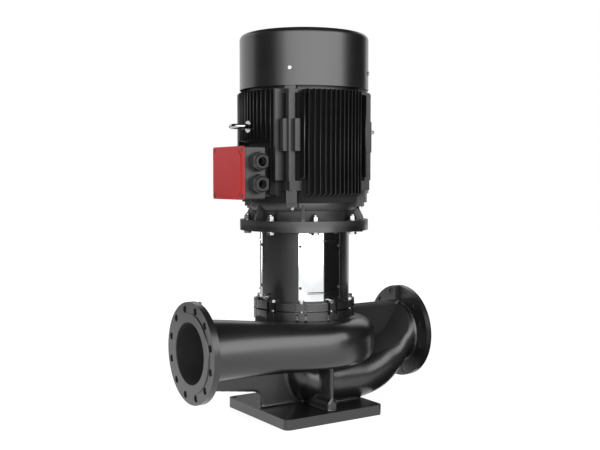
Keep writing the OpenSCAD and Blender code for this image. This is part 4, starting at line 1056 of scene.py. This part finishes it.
def cowl_side(r, top, bend, first):
    """Profile points up the side, over the rounded shoulder and up the slightly crowned top."""
    rim = top - crown
    over = [
        (r - bend + bend * math.cos(a), rim - bend + bend * math.sin(a))
        for a in (math.radians(k * 7.5) for k in range(13))
    ]
    rise = [
        ((r - bend) * (1 - k / 8), mix(rim, top, math.sin(math.pi / 2 * min(1, k / 5))))
        for k in range(1, 9)
    ]
    return [(r, first)] + over + rise


cowl_edge = cowl_z0 + 0.0006
edge_roll = 0.0008
inside_r = cowl_r - cowl_t
outside = cowl_side(cowl_r, cowl_z1, shoulder, cowl_edge)
inner_side = cowl_side(inside_r, cowl_z1 - cowl_t, shoulder - cowl_t, cowl_edge)
rolled = [(inside_r + edge_roll, cowl_z0), (cowl_r - edge_roll, cowl_z0)]
cover = turned("fan_cover_shell", rolled + outside + inner_side[::-1], 192)
slot_n, slot_first_r, slot_pitch, slot_w, slot_half_h = 7, 0.042, 0.019, 0.009, 0.01
bar_n, bar_half_w, bar_half_h = 4, 0.004, 0.012
slots = joined("slots", [
    turned("slot", oblong(r, r + slot_w, cowl_z1 - slot_half_h, cowl_z1 + slot_half_h), 96)
    for r in (slot_first_r + slot_pitch * i for i in range(slot_n))
])
for i in range(bar_n):
    bar = slab(-cowl_r, cowl_r, -bar_half_w, bar_half_w, cowl_z1 - bar_half_h, cowl_z1 + bar_half_h)
    bar.data.transform(Matrix.Rotation(math.radians(22.5 + 45 * i), 4, "Z"))
    cut(slots, bar)
cut(cover, slots)
finished(cover, sheet_paint, edge=0.0004, steps=1, sharp=50, replaces=["fan_cover"])

# Small fasteners and the vent valve keep their CAD shape, with rounded edges.
blackened = moulded("blackened_steel", (0.03, 0.031, 0.033), (0.06, 0.061, 0.064), 0.3)
refined("guard_screws", blackened, 0.0006)
refined("frame_screws", zinc, 0.0006)
refined("fan_cover_screws", zinc, 0.0008)
refined("fan_end_screws", zinc, 0.0006)
refined("earth_screw", zinc, 0.0005)
refined("lid_screws", blackened, 0.0004)
refined("vent_valve_body", zinc, 0.0005)


# The parts inside and a few small ones outside keep their CAD mesh: bare metals and soft parts,
# each with the marks of how it is made.
def machined(name, dark, light, gloss, rings):
    """Turned metal: fine rings along the shaft."""

    def surface(w, where):
        lines = w.noise(w.stretch(where, (0.0, 0.0, rings)), 1.0, 2.0)
        cloud = w.noise(where, 25.0, 2.0)
        return {
            "Base Color": w.blend(cloud, dark, light),
            "Roughness": lines * 0.12 + gloss,
            "Normal": bump(w, lines, 0.00002),
        }

    return material(name, surface, Metallic=1.0)


def wound(w, where):
    """Varnished copper wires that lie round the core."""
    sockets = {"Vector": where, "Scale": 160.0, "Distortion": 1.5}
    rise = w.node("ShaderNodeTexWave", {"bands_direction": "Z"}, sockets)
    return {
        "Base Color": w.blend(rise, (0.20, 0.07, 0.03), (0.55, 0.24, 0.10)),
        "Roughness": rise * 0.1 + 0.25,
        "Normal": bump(w, rise, 0.0004),
    }


steel = machined("machined_steel", (0.42, 0.43, 0.45), (0.56, 0.57, 0.59), 0.22, 2500.0)
laminated = machined("stacked_sheet", (0.28, 0.29, 0.31), (0.40, 0.41, 0.43), 0.35, 2000.0)
iron = machined("machined_iron", (0.16, 0.16, 0.165), (0.24, 0.24, 0.245), 0.42, 1400.0)
bronze = machined("bronze", (0.52, 0.33, 0.13), (0.62, 0.42, 0.18), 0.28, 1800.0)
copper = material("copper_winding", wound, Metallic=0.4)
rubber = moulded("rubber", (0.010, 0.010, 0.010), (0.016, 0.016, 0.016), 0.6)
fan_plastic = moulded("fan_plastic", (0.018, 0.018, 0.019), (0.026, 0.026, 0.027), 0.45)
ceramic = moulded("ceramic", (0.62, 0.60, 0.54), (0.70, 0.68, 0.62), 0.15)
board_resin = moulded("board_resin", (0.10, 0.035, 0.02), (0.14, 0.05, 0.03), 0.3)
inside = {
    steel: [
        "impeller_key", "impeller_washer", "impeller_screw", "pump_shaft", "seal_spring",
        "coupling_half_front", "coupling_half_rear", "coupling_pin", "vent_screw", "motor_shaft",
        "bearing_outer_rings", "bearing_inner_rings", "bearing_balls", "preload_spring", "fan_circlip",
    ],
    blackened: ["coupling_screws"],
    laminated: ["rotor_core", "stator_core"],
    iron: ["impeller", "pump_cover", "bearing_cover"],
    bronze: ["wear_ring", "bearing_cages", "terminal_studs"],
    copper: ["stator_winding"],
    rubber: ["cover_gasket", "seal_head", "v_ring_seal", "lid_gasket", "gland_seals"],
    fan_plastic: ["cooling_fan"],
    ceramic: ["seal_seat"],
    board_resin: ["terminal_board"],
    motor_paint: ["fan_end_shield"],
}
for finish, nodes in inside.items():
    for node in nodes:
        piece = frame["nodes"][node]
        piece.data.materials.clear()
        piece.data.materials.append(finish)


# Studio: a white sweep and softboxes, the largest in front. Black cards, which only reflections
# see, stand beside, behind and over the pump and lie on the floor, and draw the dark edges of its
# glossy surfaces.
floor_half = 3.2
floor_corners = oblong(-floor_half, floor_half, -floor_half, floor_half)
floor = new_piece("floor", [(x, y, 0) for x, y in floor_corners], [[0, 1, 2, 3]])


def shown_white(w):
    """1 for what the camera, a mirror or glass sees directly."""
    camera_ray, glossy_ray, through = (
        w.node("ShaderNodeLightPath", {}, {}, out=key) for key in (0, 3, 6)
    )
    return (camera_ray + glossy_ray + through).clamp(0, 1)


white = bpy.data.materials.new("white_sweep")
white.use_nodes = True
white.node_tree.nodes.clear()
w = Wire(white.node_tree)
lit = w.node("ShaderNodeBsdfDiffuse", {}, {"Color": (0.86, 0.86, 0.86, 1)})
glow = w.node("ShaderNodeEmission", {}, {"Color": (1, 1, 1, 1), "Strength": 1.25})
white_share = 0.7
both = w.node("ShaderNodeMixShader", {}, {0: shown_white(w) * white_share, 1: lit, 2: glow})
out = white.node_tree.nodes.new("ShaderNodeOutputMaterial")
white.node_tree.links.new(both.socket, out.inputs["Surface"])
floor.data.materials.append(white)

black = bpy.data.materials.new("black_card")
black.use_nodes = True
black_inputs = black.node_tree.nodes["Principled BSDF"].inputs
black_inputs["Base Color"].default_value = (0.003, 0.003, 0.003, 1)
black_inputs["Roughness"].default_value = 1.0


def card(name, first, last, rims, steps=16):
    """A black card between two azimuths in degrees, on rims of (radius, height)."""
    ring = [math.radians(mix(first, last, k / steps)) for k in range(steps + 1)]
    points = [(r * math.cos(a), r * math.sin(a), z) for r, z in rims for a in ring]
    n = len(ring)
    made = new_piece(name, points, [[k, k + 1, n + k + 1, n + k] for k in range(steps)])
    made.visible_camera = made.visible_diffuse = made.visible_shadow = False
    made.data.materials.append(black)


tall = [(3.4, 0.0), (3.4, 3.4)]
low = [(3.4, 0.0), (3.4, 0.75)]
card("card_left", 142, 190, tall)
card("card_left_low", 190, 222, low)
card("card_right", 314, 374, tall)
card("card_right_low", 287, 346, [(3.3, 0.0), (3.3, 0.75)])
card("card_back", 32, 82, [(3.4, 0.45), (3.4, 1.3)])
card("card_above", 0, 360, [(3.4, 3.5), (0.0, 3.6)], 32)
card("card_floor", 318, 356, [(0.3, 0.002), (3.3, 0.002)])
card("card_floor_far", 287, 318, [(1.8, 0.002), (3.3, 0.002)])
card("card_side_low", 84, 142, low)


def lamp(name, azimuth, distance, height, target, size, power, glossy=True):
    """A softbox at an azimuth in degrees, counted from +X towards +Y, aimed at a height."""
    light = bpy.data.lights.new(name, "AREA")
    light.shape = "RECTANGLE"
    light.size, light.size_y = size
    light.energy = power
    holder = bpy.data.objects.new(name, light)
    a = math.radians(azimuth)
    holder.location = (distance * math.cos(a), distance * math.sin(a), height)
    aim = Vector((0, 0, target)) - holder.location
    holder.rotation_euler = aim.to_track_quat("-Z", "Y").to_euler()
    holder.visible_camera = False
    holder.visible_glossy = glossy
    bpy.context.collection.objects.link(holder)


lamp("front", 255, 4.2, 1.7, 1.2, (5.25, 3.3), 138)
lamp("front_left", 213, 4.2, 2.1, 1.2, (1.5, 2.5), 26)
lamp("front_right", 297, 4.1, 2.1, 1.2, (1.4, 2.5), 28)
lamp("left", 190, 4.0, 2.2, 0.7, (2.0, 2.4), 60, False)
lamp("back", 60, 4.0, 2.4, 0.6, (3.0, 2.4), 60, False)
lamp("top", 240, 0.6, 4.2, 0.5, (2.0, 2.0), 30, False)

world = bpy.data.worlds.new("studio")
bpy.context.scene.world = world
world.use_nodes = True
world.node_tree.nodes.clear()
w = Wire(world.node_tree)
strength = shown_white(w) * white_share + (1 - white_share)
sky = w.node("ShaderNodeBackground", {}, {"Color": (1, 1, 1, 1), "Strength": strength})
out = world.node_tree.nodes.new("ShaderNodeOutputWorld")
world.node_tree.links.new(sky.socket, out.inputs["Surface"])
bpy.context.scene.view_settings.view_transform = "Standard"
